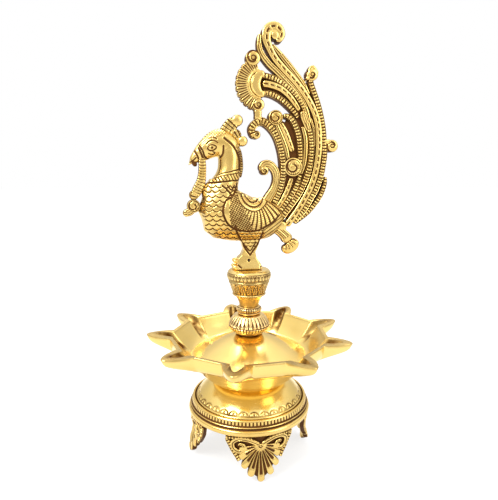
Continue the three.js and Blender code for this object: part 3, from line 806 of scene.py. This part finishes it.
def urn_relief(radius, z, angle):
    """From below: a neck under a smooth cup, darker towards its bottom, a knurled line, ribbed leaves, and
    triangles with dots on the rim, all between plain lines."""
    phase = LEAF_COUNT * angle / (2 * math.pi)
    side = abs((phase % 1.0) - 0.5) * 2
    climb = np.clip((z - 163.4) / 10, 0, 1)
    in_band = step_between(162.9, 163.5, z) * fade(173.2, 173.9, z)
    leaf = abs(side - 0.92 * np.sqrt(np.clip(1 - climb, 0, 1)))
    vein = np.where(climb < 0.7, side, 1)
    rib = abs((climb * 5 + side * 1.2) % 1.0 - 0.5) + 0.25 * (side > 0.85)
    leaves = deepest(fade(0.06, 0.2, leaf), fade(0.04, 0.14, vein), 0.6 * fade(0.08, 0.2, rib))
    teeth = abs((phase * 2) % 1.0 - 0.5) * 2
    rise = np.clip((z - 177.4) / 5, 0, 1)
    in_rim = step_between(177, 177.4, z) * fade(182.6, 183, z) * (radius > 19)
    zigzag = fade(0.1, 0.3, abs(teeth - rise))
    dots = fade(0.12, 0.3, np.hypot((teeth - 0.15) * 0.7, (rise - 0.75) * 0.8))
    knurl = fade(0.2, 0.7, abs(np.sin(KNURL_COUNT * angle / 2))) * (abs(z - 161.3) < 0.8)
    lines = deepest(*(fade(0.15, 0.5, abs(z - at)) for at in URN_LINES))
    cut = deepest(0.8 * leaves * in_band, 0.6 * np.maximum(zigzag, dots) * in_rim, knurl, 0.8 * lines)
    cut *= radius > 12
    # The neck under the cup is darkened more towards its bottom.
    return -0.45 * cut, 0 * z, np.maximum(cut, 0.3 * fade(156, 160, z))


cast_urn_brass = antique_brass("cast_urn_brass", URN_BRIGHT, URN_DEEP)
urn = to_mesh(turned(URN_OUTLINE, LEAF_COUNT, 26, fine=0.7), "stem_urn", round_axis(urn_relief))
piece(urn, "stem_urn_casting", cast_urn_brass, "stem", "antique_brass", "stem_urn")

# ----- The peacock -----
# One brass casting on the urn: trunk, neck, head, a leg and a clawed foot. Scales, a wing and a necklace
# are chased into it on both sides, then it is dipped dark and buffed. The neck and the face stay plain.

PERCH = 186.5
LIMBS = {
    "trunk": [(-49, 57, 12, 8), (-42, 57, 20, 14), (-30, 56, 25.5, 18), (-14, 51, 24, 18.5),
              (2, 48, 21, 17.5), (14, 50, 20.5, 14), (24, 57, 16, 9), (30, 64, 8, 5)],
    "chest": [(-39, 62, 6, 9), (-36.6, 71, 8.6, 10.5), (-35, 78, 8.6, 9.5), (-35.8, 83, 6.4, 7.5),
              (-37.4, 86, 3, 4)],
    "neck": [(-27, 60, 16, 15), (-26, 70, 16.5, 14.8), (-23.6, 79.5, 13.6, 13.6), (-21, 86.5, 11.6, 12.6),
             (-19.2, 93, 10.8, 12), (-18.4, 100, 10.8, 11.4), (-18.4, 107, 11, 11),
             (-20.5, 114, 10.5, 10.4), (-24, 119, 9, 9.6)],
    "head": [(-12, 108, 5, 8), (-17, 113.5, 11, 10.2), (-27, 118, 13, 10), (-36, 115, 10.5, 8.6),
             (-44, 109.5, 8, 6.5), (-51, 104, 4.6, 4), (-57.5, 97.5, 1.2, 1.6)],
}
LEG = [(-12, 34, 6.5), (12, 34, 6.5), (8.6, 24, 6.2), (5.4, 16.5, 5.8), (6.6, 10.6, 6.2),
    (10.4, 5.4, 7.6), (12, 0.2, 9.4), (-13, 0.2, 9.4), (-12, 5.2, 7.6), (-11.4, 11, 6.4),
    (-8.1, 13.6, 5.8), (-6.2, 18.8, 5.6), (-8.1, 26, 6)]
CLAWS = [(-13, 2.4, -5.6), (-13, 2.4, 0), (-13, 2.4, 5.6), (-12.6, 8.2, -2.4), (-12.6, 8.2, 2.4)]
CLAW_SIZE = (4.2, 2.8, 2.4)
SKIN_FINE, SKIN_RELAX = 0.52, 9


def limb(shape, spine):
    """A rounded limb along a curve of [x, z, half height, half thickness] points, closed at both ends."""
    made = bmesh.ops.create_uvsphere(shape, u_segments=32, v_segments=30, radius=1)["verts"]
    ball = np.array([vert.co[:] for vert in made])
    share = np.arccos(np.clip(ball[:, 2], -1, 1)) / math.pi
    fine = through(spine, 0.5)[0]
    at = np.interp(share, *progress(np.array(spine, float), fine))
    x, z, tall, thick = (np.interp(at, np.arange(len(fine)), column) for column in fine.T)
    slope = np.gradient(fine[:, :2], axis=0)
    dx, dz = (np.interp(at, np.arange(len(fine)), column) for column in slope.T)
    long = np.hypot(dx, dz)
    ring = np.sin(share * math.pi)
    swell = np.where(ring < 1e-6, 0, np.minimum(1, 2.4 * ring) / np.maximum(ring, 1e-6))
    up, out = ball[:, 0] * swell * tall, ball[:, 1] * swell * thick
    spots = np.stack((x - dz / long * up, out, z + dx / long * up), axis=1)
    settle(shape, made, spots, 0 * x)


def progress(knots, fine):
    """Where along the even curve each of its knots lies, against an equal share for each knot."""
    nearest = [int(np.argmin(np.hypot(*(fine[:, :2] - knot[:2]).T))) for knot in knots]
    return np.linspace(0, 1, len(knots)), nearest


def line(x, z, points, half=0.45):
    """1 on a smooth line through [x, z] points and 0 away from it."""
    near = np.full_like(x, 99.0)
    route = through(points, 1.2)[0]
    for (ax, az), (bx, bz) in zip(route, route[1:]):
        dx, dz = bx - ax, bz - az
        along = np.clip(((x - ax) * dx + (z - az) * dz) / (dx ** 2 + dz ** 2), 0, 1)
        near = np.minimum(near, np.hypot(x - ax - along * dx, z - az - along * dz))
    return fade(half, half + 0.55, near)


def scales(x, z, wide, tall):
    """Rows of overlapping scales of this size that point down."""
    row = np.floor(z / tall)
    side = ((x / wide + 0.5 * (row % 2)) % 1.0 - 0.5) * wide
    drop = (1 - z / tall + row) * tall
    arc = abs(np.hypot(side, drop * 0.9) - 0.52 * wide)
    return fade(0.15, 0.75, arc) * (0.3 + 0.7 * step_between(1.2, 2.4, drop))


def within(x, z, points):
    """Whether each place lies inside a closed outline."""
    inside = np.zeros(x.shape, bool)
    for (ax, az), (bx, bz) in zip(points, points[1:] + points[:1]):
        crosses = (az > z) != (bz > z)
        inside ^= crosses & (x < ax + (z - az) * (bx - ax) / (bz - az + 1e-9))
    return inside


WING_FRONT = [(-19.5, 69), (-24.4, 66), (-27.2, 57), (-25, 49), (-20.8, 43.4), (-15, 39.6)]
WING_UNDER = [(-15, 39.6), (-1.3, 37.5), (9.4, 40), (21, 45.8), (28, 52)]
WING = WING_FRONT + WING_UNDER[1:] + [(32, 64), (22, 76), (5, 80), (-12, 78)]
SHOULDER = (2.4, 71.5)
SHOULDER_REACH, SHOULDER_PITCH = 15.4, 4.2
MANE_FRONT = [(-24.5, 122.5), (-17.4, 116.4), (-13, 110.5), (-10.4, 103), (-10.3, 94)]
MANE_FOOT = (-9.6, 86)
THIGH = [(-14, 39.4), (-9.6, 29.2), (-4.8, 20.4), (0, 13.5), (3.6, 19), (7.6, 26), (10.6, 38.5)]
NECKLACE_TOP = [(-41, 82.8), (-35.9, 86.7), (-27.5, 90.4), (-18.2, 92.7), (-6, 95.6)]
NECKLACE_LOW = [(-41, 82.2), (-32.2, 82.6), (-20.2, 84), (-6, 85.2)]
CHEEK = [(-25.2, 115.5), (-25.8, 108.5), (-29.5, 104.4), (-36.5, 103.5), (-41.4, 105.2), (-43.6, 110.5),
    (-46.4, 115.5)]
EYE = [(-39.6, 113), (-37.5, 115.6), (-34.5, 116.2), (-31.4, 114.2), (-34, 111.6), (-37.4, 111.2),
    (-39.6, 113)]

# The lines the chaser draws with a narrow tool: their points, half their width, and their depth if less
# than full. The body's stop at the necklace, and the rest may run over it.
BODY_LINES = [
    (WING_FRONT, 0.7), (WING_UNDER, 0.6),
    ([(-16, 44), (-14, 37), (-9.6, 29.2), (-4.8, 20.4), (0, 13.8)], 0.6),
    ([(10.8, 36), (8.8, 27), (4.4, 20), (0, 13.8)], 0.6),
    ([(-7.4, 26), (-3.4, 21.4), (0, 17.9), (3, 22), (5.4, 26.4)], 0.35),
]
OTHER_LINES = [
    ([(-27, 80), (-22, 75.5), (-17.5, 71), (-14, 77), (-12.5, 82)], 0.5),  # the pendant
    ([(-22.5, 80), (-18.4, 75.8), (-15.5, 80)], 0.35),
    (MANE_FRONT, 0.7), (CHEEK, 0.5),
    ([(-51.2, 111), (-48.5, 106.5), (-46.6, 101.5)], 0.5),  # the root of the beak
    ([(-47.6, 113.8), (-45, 108), (-43, 103)], 0.6),
    ([(-55.5, 100.6), (-52.2, 102.6), (-49.8, 105)], 0.35),  # the mouth
    (EYE, 0.3),
    ([(-40.5, 116.8), (-37.6, 119.6), (-33.6, 120), (-30.4, 118.2)], 0.25),  # the brow
    ([(-38, 122.2), (-34.4, 122.8), (-31, 121.6)], 0.2, 0.8),
    ([(-38.6, 108.6), (-35.4, 107.4), (-32.6, 108.8), (-34.6, 110.2)], 0.25, 0.7),  # a curl on the cheek
    ([(-16, 5.4), (-12.4, 5.2), (-9, 2)], 0.5),  # between the toes
]
PUNCHED = [(-35.4, 113.7, 0.8, 1.3), (-1.2, 9, 1.2, 1.8)]  # the pupil, and the sunk ring round the pin


def chasing(x, z):
    """Everything that is chased into the bird: grooves from 0 to 1, and where the metal stands proud."""
    wing, thigh = within(x, z, WING), within(x, z, THIGH)
    chest = (z < 80.5) & ~wing & ~thigh & (z > 24) & (x < 12)
    crescent = wing & (x < -21.4 + 0.012 * (z - 56) ** 2) & (x < -13)
    reach = np.hypot(x - SHOULDER[0], z - SHOULDER[1])
    swing = np.arctan2(z - SHOULDER[1], x - SHOULDER[0])
    shoulder = (z < 72) & (reach < SHOULDER_REACH) & wing
    back = wing & ~shoulder & (x > -5 + 0.5 * (52 - z))
    front = wing & ~shoulder & ~crescent & ~back
    rump = ~wing & ~thigh & (x > 9) & (z < 62)

    rims = fade(0.4, 1.0, abs((reach % SHOULDER_PITCH) - 2.6))
    fringe = 0.8 * fade(0.25, 0.7, abs(np.sin(22 * swing))) * (reach % SHOULDER_PITCH > 2.6)
    hatch = np.minimum(bars(0.5 * x + 0.87 * z, 1.7), bars(0.87 * x - 0.5 * z, 2.1))
    rays = fade(0.25, 0.7, abs(np.sin(19 * swing + 0.13 * reach)))
    barbs = 0.55 * fade(0.2, 0.6, bars(reach, 1.8))
    quills = 0.8 * fade(0.2, 0.6, bars(0.55 * x - 0.84 * z, 3.2))
    groove = deepest(
        scales(x, z, 6.6, 4.3) * chest * step_between(-47, -44, x), np.maximum(rims, fringe) * shoulder,
        np.maximum(0.25, fade(0.2, 0.65, hatch)) * front, np.maximum(rays, barbs) * back,
        # The lower chest is sunk a little and darkened more towards the bottom.
        0.32 * ((z < 50) & chest) * fade(32, 50, z), np.maximum(0.25, quills) * rump,
        scales(x, z, 4.4, 3.1) * thigh * step_between(19, 21, z),
        *(line(x, z, points, half) for points, half in BODY_LINES))

    top = np.interp(x, *zip(*NECKLACE_TOP))
    low = np.interp(x, *zip(*NECKLACE_LOW))
    band = (z > low) & (z < top) & (x > -41)
    on_band = (z - low) / np.maximum(top - low, 0.5)
    ribs = fade(0.25, 0.65, bars(x * 0.9 + z * 0.5, 2.7)) * (on_band < 0.66)
    groove = np.where(band, np.maximum(ribs, 0.7 * (abs(on_band - 0.7) < 0.06)), groove)

    edge = np.maximum(fade(0.35, 0.95, abs(z - low)), fade(0.25, 0.8, abs(z - top)))
    mane_at = np.interp(z, *zip(*[(up, out) for out, up in (MANE_FOOT, *MANE_FRONT[::-1])]))
    mane = (x > mane_at) & (z > 86) & (z < 112)
    brow = z - (129.6 - 0.026 * (x + 24) ** 2)
    diadem = (brow > -5.2) & (x < -23) & (x > -47)
    beads = step_between(-0.2, 0.5, np.sin(x * 2.6) * np.sin(z * 2.6))
    groove = deepest(
        groove, edge * ((z > 76) & (z < 99) & (x > -41.5)),
        np.maximum(0.4, fade(0.2, 0.6, bars(z - 0.4 * x, 2.2))) * mane, 0.55 * beads * diadem,
        *(line(x, z, points, half) * (deep[0] if deep else 1) for points, half, *deep in OTHER_LINES),
        *(fade(inner, outer, np.hypot(x - at, z - up)) for at, up, inner, outer in PUNCHED))
    return groove, 0.7 * band + 0.5 * diadem + 0.5 * (wing & ~crescent & ~shoulder) + 0.8 * crescent


def bird_shape():
    """The limbs, the leg and the claws, run together into one skin with soft joins."""
    shape = new_shape()
    for spine in LIMBS.values():
        limb(shape, spine)
    sides = []
    for front in (-1, 1):
        sides.append([shape.verts.new((x, front * thick, z)) for x, z, thick in LEG])
        shape.faces.new(sides[-1])
    bmesh.ops.bridge_loops(shape, edges=[shape.edges.get(pair) for side in sides
                                         for pair in zip(side, side[1:] + side[:1])])
    for x, z, y in CLAWS:
        ball = bmesh.ops.create_uvsphere(shape, u_segments=16, v_segments=12, radius=1)["verts"]
        bmesh.ops.scale(shape, vec=CLAW_SIZE, verts=ball)
        bmesh.ops.translate(shape, vec=(x, y, z), verts=ball)
    bmesh.ops.recalc_face_normals(shape, faces=shape.faces)
    lump = bpy.data.meshes.new("peacock_lump")
    shape.to_mesh(lump)
    shape.free()
    blank = bpy.data.objects.new("peacock_lump", lump)
    bpy.context.scene.collection.objects.link(blank)
    skin = blank.modifiers.new("one_skin", "REMESH")
    skin.mode = "VOXEL"
    skin.voxel_size = SKIN_FINE
    relax = blank.modifiers.new("soft_joins", "SMOOTH")
    relax.iterations = SKIN_RELAX
    depsgraph = bpy.context.evaluated_depsgraph_get()
    cast = bpy.data.meshes.new_from_object(blank.evaluated_get(depsgraph))
    bpy.data.objects.remove(blank)
    bpy.data.meshes.remove(lump)
    return cast


CHASED_DEEP = 0.55
peacock = bird_shape()
places, normals = np.empty((2, len(peacock.vertices), 3))
peacock.vertices.foreach_get("co", places.ravel())
peacock.vertices.foreach_get("normal", normals.ravel())
groove, proud = chasing(places[:, 0], places[:, 2])
facing = step_between(0.15, 0.5, abs(normals[:, 1]))
depth = (proud - CHASED_DEEP * groove) * facing
places = places + normals * depth[:, None] + np.array((0, 0, PERCH))
places[:, 2] = np.maximum(places[:, 2], PERCH)
peacock.vertices.foreach_set("co", places.ravel())
dark = peacock.attributes.get("patina_and_shade") or peacock.attributes.new("patina_and_shade", "FLOAT", "POINT")
dark.data.foreach_set("value", (groove * facing).astype(np.float32))

cast_peacock_brass = antique_brass("cast_peacock_brass", BRASS_BRIGHT, BRASS_DEEP)
piece(peacock, "peacock_body_casting", cast_peacock_brass, "finial", "antique_brass", "peacock_body")

# ----- The crest -----
# Three curled lobes cast in brass that stand on the back of the head, with a knurled strip that runs down
# the back of the neck like a mane. A thin beaded diadem lies over the brow.


def finial_casting(shape, name, node):
    """Finishes a flat casting that is brazed to the bird, stands it on the perch and gives it the bird's
    brass."""
    weld(shape)
    mesh = to_mesh(shape, name)
    mesh.transform(Matrix.Translation((0, 0, PERCH)))
    piece(mesh, name, cast_peacock_brass, "finial", "antique_brass", node)


CREST_LOBES = [[(-26, 120, 9), (-21.4, 128.6, 12), (-16.8, 135, 12), (-12.4, 139.4, 11)],
               [(-19.5, 119.5, 8), (-13.6, 125.4, 9.6), (-8, 128.4, 7.6)],
               [(-16, 115.4, 7), (-10.4, 119.4, 8.6), (-6.4, 120.4, 8.6)]]
CREST_BALLS = [(-11.4, 138.8, 5.2), (-6.4, 120.4, 4.6)]
MANE = [(-14, 118, 4), (-10, 111, 4.4), (-8.4, 103, 4.2), (-8.2, 95, 4), (-9.6, 87, 3.6)]
DIADEM = [(-24, 130, 3), (-32, 128.6, 3.4), (-40, 123.4, 3.4), (-46, 116, 2.6)]


def bead_strip(along, across, width):
    """Two rows of small beads, 2.6 mm apart."""
    beads = np.minimum(bars(along, 2.6), abs(np.sin(math.pi * across)) + 0.2)
    gap = fade(0.15, 0.55, beads)
    return -0.6 * gap, gap


def bead_rows(along, across, width):
    """Three rows of coarse beads between deep grooves."""
    cells = np.minimum(bars(along, 3.1), abs(np.cos(1.5 * math.pi * across)) + 0.1)
    gap = fade(0.2, 0.62, cells)
    return -0.9 * gap, gap


def hairs(along, across, width):
    """Fine dark ridges across a strip that never gets buffed bright."""
    gap = fade(0.2, 0.6, bars(along, 2.2))
    return -0.5 * gap, np.maximum(0.4, gap)


def smooth_ball(share, angle):
    """A plain rounded knob with a dark seam."""
    return 0 * share, 1.0 * step_between(0.9, 1.0, share)


def curl(share, angle):
    """A scroll end seen from the side: fine ribs wind in to a round eye inside a plain rim."""
    winding = (1.5 * share + angle / (2 * math.pi)) % 1.0
    groove = fade(0.08, 0.2, abs(winding - 0.5))
    ribs = 0.8 * fade(0.2, 0.6, abs(np.sin(10 * angle))) * (winding > 0.5)
    rim = fade(0.03, 0.08, abs(share - 0.8))
    cut = np.where(share < 0.2, 0, np.where(share < 0.78, np.maximum(groove, ribs), rim))
    return -0.7 * cut, cut


crest = new_shape()
for lobe in CREST_LOBES:
    ribbon(crest, lobe, 8, 9, bead_rows)
for x, z, radius in CREST_BALLS:
    rosette(crest, (x, z), radius, 10.4, smooth_ball, rings=14, around=48, crown=2.4)
ribbon(crest, MANE, 4, 7.5, hairs, around=28)
ribbon(crest, DIADEM, 3, 7, bead_strip, around=28)
finial_casting(crest, "peacock_crest_casting", "peacock_crest")

# ----- The garland -----
# A beaded brass strand that hangs from the beak to the breast and ends in a bud with a leaf.

STRAND = [(-44.4, 106, 6), (-43.9, 98, 6.6), (-44.3, 90, 7), (-45.6, 82.6, 8.4), (-48.8, 76, 9),
    (-51.2, 69.6, 8.4)]
BUD_LEAF = [(-53, 61, 7), (-55.6, 56.4, 7.4), (-59.4, 54.6, 6.6), (-62.8, 54, 5.4)]
garland = new_shape()
ribbon(garland, STRAND, 7, 9, bead_strip)
ribbon(garland, [(-53, 105, 3), (-51.4, 100.6, 4.4), (-49.6, 97.2, 3)], 4, 6.4, dark_ground_and_shadow)
ribbon(garland, [(-50, 75, 9.4), (-52.2, 70.5, 9), (-53, 66.5, 7)], 8, 9.4, ribbed)
ribbon(garland, BUD_LEAF, 6, 8.6, reeded)
rosette(garland, (-52.6, 61), 6.2, 10.4, curl, rings=16, around=52)
finial_casting(garland, "beak_garland_casting", "beak_garland")

# ----- The tail -----
# A tall openwork plume cast in brass in one flat plane: ribbed bands and plain quills side by side with
# deep blackened grooves between them, rosettes where they curl, and a fluted fan at the top.

MAIN_QUILL = [(36, 41), (39.6, 45.7), (46.6, 55.3), (53.1, 65.9), (58.7, 76.4), (62.7, 87),
    (65.2, 97.5), (67, 113), (66.7, 127), (65.3, 137.6), (61.7, 148.1), (55.8, 158.4), (48.3, 168.5),
    (40.2, 177), (31.4, 185.3), (23.5, 193.6), (18.1, 202.5, 6.6), (15.2, 210, 8), (16, 217, 9),
    (21, 220.8, 9), (26.4, 219.4, 8.4), (28.8, 214.8, 7.4), (27, 210.6, 6), (23.6, 211, 5)]
OUTER_BAND = [(43, 44.5), (46.8, 48.8), (53.3, 55.8), (59.3, 65.8), (65.2, 76.4), (69.4, 87),
    (71.5, 97.5), (72.8, 109), (72.1, 119.3), (70.9, 131.6), (68.4, 143.7), (64.8, 155.7),
    (61.3, 164.5), (57.9, 173.3, 5.6), (57.4, 177, 5)]

# The pattern, the depth from front to back and the route of each band, in the order they are laid.
TAIL_BANDS = [
    (dark_ground_and_shadow, 4.6, [(30, 50, 14), (40, 62, 24), (48, 78, 36), (51.5, 95, 40), (51.5, 110, 42),
        (50, 125, 42), (53, 140, 32), (53, 152, 26), (46, 164, 16), (36, 176, 9), (24, 189, 6)]),
    (dark_ground_and_shadow, 4.6, [(10, 171, 14), (20, 170.5, 14), (30, 167, 14), (39, 160, 16), (47, 150, 18)]),
    (dark_ground_and_shadow, 4.6, [(25, 140, 6), (33, 130, 14), (38, 118, 18), (40, 104, 18), (38, 86, 14), (32, 70, 12),
        (22, 52, 16)]),
    (quill, 11, with_width(MAIN_QUILL, 6.2)),
    (ribbed, 10, with_width(OUTER_BAND, 5.8)),
    (reeded, 9, [(9.4, 214.5, 3), (8.6, 207, 4.6), (10.4, 198.6, 5.4), (17, 190, 5.8),
        (25.6, 182.6, 5.8), (34, 175, 5.6), (43, 166.4, 5.4), (50.6, 156.4, 5), (55, 147, 4.4),
        (57.8, 137, 3.6)]),
    (reeded, 8, [(20.5, 206, 3), (30.5, 195.8, 5), (41, 184.4, 5.4), (50.4, 173, 5), (56.6, 163, 3.4)]),
    (ribbed, 10, [(6, 178.4, 4), (14, 178.4, 5.6), (23.5, 176, 5.8), (33, 171.2, 5.8),
        (41.5, 164.6, 5.6), (47.8, 157, 5), (52, 149, 4)]),
    (quill, 11.4, [(11.4, 171.6, 5.8), (19, 170.8, 6), (28.5, 167.8, 5.6), (36, 162.4, 5.2),
        (42.5, 155, 4.6), (47, 148.5, 3.4)]),
    (ribbed, 9.4, [(9.5, 163.4, 4.6), (19, 163, 5.6), (28.5, 159, 5.6), (36, 153.4, 5.4),
        (42, 147.6, 5), (46, 142, 4)]),
    (plain, 10.8, [(14.4, 180, 4.6), (8.8, 179, 7.4), (5.8, 171.4, 8.4), (8.4, 163.8, 7.4),
        (14.4, 162, 4.6)]),
    (ribbed, 9.6, [(7, 126.5, 6), (3.4, 126, 6.4), (2, 131.6, 7), (6.4, 137, 7.4), (12.5, 138.2, 7.6),
        (20, 133, 7.4), (26, 124.5, 7), (30, 112.5, 6.6), (32, 100.5, 6.6), (32, 89.5, 6.4),
        (29.8, 77.5, 6), (25, 66, 5.4), (20, 57, 5)]),
    (ribbed, 9.6, [(31.5, 144, 4), (37.5, 142.6, 5.6), (42.6, 136.4, 6), (46.4, 127, 6), (48.2, 116, 6),
        (49, 105, 5.4), (48, 97, 4.4)]),
    (quill, 9, [(29, 137.6, 4), (33.6, 130, 5.2), (38, 120, 5.2), (41.4, 111, 4.6)]),
    (reeded, 7.6, [(24.6, 138, 3.4), (30.2, 126, 4.4), (35, 114.5, 4.4), (37.4, 104, 3.4)]),
    (ribbed, 9.6, [(49.3, 90, 4.2), (45.1, 78.6, 5), (39.8, 69.2, 5.2), (33.8, 60.7, 5.2),
        (28.4, 53.4, 5.2), (24.6, 48, 5)]),
    (quill, 8.6, [(41, 87, 3.8), (36.9, 75.5, 4.6), (32.1, 66, 4.4), (26, 57, 4.2)]),
    (reeded, 10.4, [(50.4, 149.4, 4), (51.6, 144.6, 7), (54.2, 137.6, 6.6), (57, 130.4, 5)]),
    (ribbed, 10, [(56, 134.6, 5), (58.5, 127, 5.6), (59.8, 116, 5.6), (59.3, 104, 5.6), (57, 93, 6),
        (52.8, 81.7, 6.2), (47.5, 71.2, 6.4), (39.9, 60.7, 6.4), (31.8, 50.1, 6.4), (28, 45.6, 5.8)]),
    (reeded, 8, [(50.6, 135, 3.4), (53.8, 124, 4.4), (54.2, 112, 4.6), (53, 100, 4.4),
        (49.6, 90, 3.6)]),
    (reeded, 8, [(58, 143, 2.8), (62.4, 130, 2.8), (63.2, 116, 2.6)]),
    (ribbed, 8.6, [(74.6, 88, 2.8), (74, 81, 4.4), (70.8, 71.5, 5), (65.5, 63, 5), (58.9, 55.1, 4.8),
        (52.3, 49.4, 4.4), (44, 43.5, 4)]),
    (plain, 9.6, [(22, 45, 7), (30, 41.5, 9), (37, 40, 7)]),
    (reeded, 9, [(13.6, 92.8, 6.4), (12.4, 96.4, 7.4), (15.4, 99.6, 7.8), (20.4, 98.4, 7.8),
        (24.6, 93.4, 7.4), (26, 86, 7), (24, 77.5, 7), (19, 69, 8), (13, 60, 9)]),
    (plain, 9, [(8, 150, 8), (8, 144, 6.4), (8, 139, 8)]),
    (plain, 9.6, [(54, 176, 3), (58.5, 187.6, 4), (64.4, 182, 3)]),
    (plain, 9, [(71, 122, 3), (78, 120, 6), (80, 117, 6)]),
]
TAIL_BOSSES = [(3, 193.5, 6.6, spiral(1.4)), (58.7, 181.4, 5.6, spiral(1.3)),
    (80, 117, 5.8, spiral(1.2, -1)), (8, 153, 5.6, spiral(1.3)), (24.5, 142, 6.8, curl),
    (42, 97, 8.8, curl), (23.4, 213.6, 3.8, smooth_ball), (6.2, 126.2, 3.8, spiral(1.1, -1)),
    (14, 93.4, 4, spiral(1.1))]
FAN_CENTRE = (11.5, 171)
FAN_FIRST, FAN_LAST, FAN_FLUTES = 112, 256, 12
FLUTE_WIDTHS = [(11, 3), (16, 4.4), (24.6, 5.8)]
FAN_RIMS = (10.2, 12.6)
BOSS_DEPTH = 11


def tail_part(first, end):
    """Some of the tail's bands as one shape. The sunk ground is flat, so it needs few points."""
    shape = new_shape()
    for relief, depth, points in TAIL_BANDS[first:end]:
        if relief is dark_ground_and_shadow:
            ribbon(shape, points, 7, depth, relief, crown=0.2, spacing=1.5, around=16)
        else:
            ribbon(shape, points, 7, depth, relief)
    return shape


def fan_lines(along, across, width):
    """Two fine lines that start a little way up the flute."""
    groove = fade(0.12, 0.34, abs(abs(across) - 0.42)) * step_between(2, 5, along)
    return -0.4 * groove, 0.85 * groove


def fan(shape):
    """Twelve flutes that spread from a double rim, each chased with two fine lines."""
    def spot(reach, swing):
        return FAN_CENTRE[0] + reach * math.cos(swing), FAN_CENTRE[1] + reach * math.sin(swing)

    for number in range(FAN_FLUTES):
        swing = math.radians(FAN_FIRST + (FAN_LAST - FAN_FIRST) * number / (FAN_FLUTES - 1))
        ribbon(shape, [(*spot(reach, swing), wide) for reach, wide in FLUTE_WIDTHS], 5, 9, fan_lines,
               around=24)
    for reach in FAN_RIMS:
        turns = [math.radians(FAN_FIRST - 12 + (FAN_LAST - FAN_FIRST + 22) * i / 6) for i in range(7)]
        ribbon(shape, [spot(reach, swing) for swing in turns], 1.9, 10.4, plain, around=20)


roots = tail_part(0, 5)
bands = tail_part(5, 16)
plumes = tail_part(16, len(TAIL_BANDS))
fan(bands)
for x, z, radius, relief in TAIL_BOSSES:
    rosette(plumes, (x, z), radius, BOSS_DEPTH, relief)
for part, shape in (("roots", roots), ("bands", bands), ("plumes", plumes)):
    finial_casting(shape, f"peacock_tail_{part}", "peacock_tail")

# ----- The peg -----
# A short reeded brass peg with a flared end, brazed under the root of the tail.

def fluted_end(along, across, width):
    """Short flutes on the outer half of the flared end."""
    groove = 0.8 * fade(0.2, 0.6, bars(along, 3.4)) * (across > -0.2)
    return -0.5 * groove, groove


peg = new_shape()
ribbon(peg, [(22, 41, 8.4), (29, 36.6, 9), (35.4, 31, 10), (39.6, 25, 13)], 8, 9.4, reeded)
ribbon(peg, [(32.4, 19.2, 6.6), (37.4, 18.6, 10.6), (43, 21.6, 11.2), (47.4, 27.4, 7.6)], 8, 10.4,
       fluted_end, crown=2.2)
finial_casting(peg, "tail_peg_casting", "tail_peg")
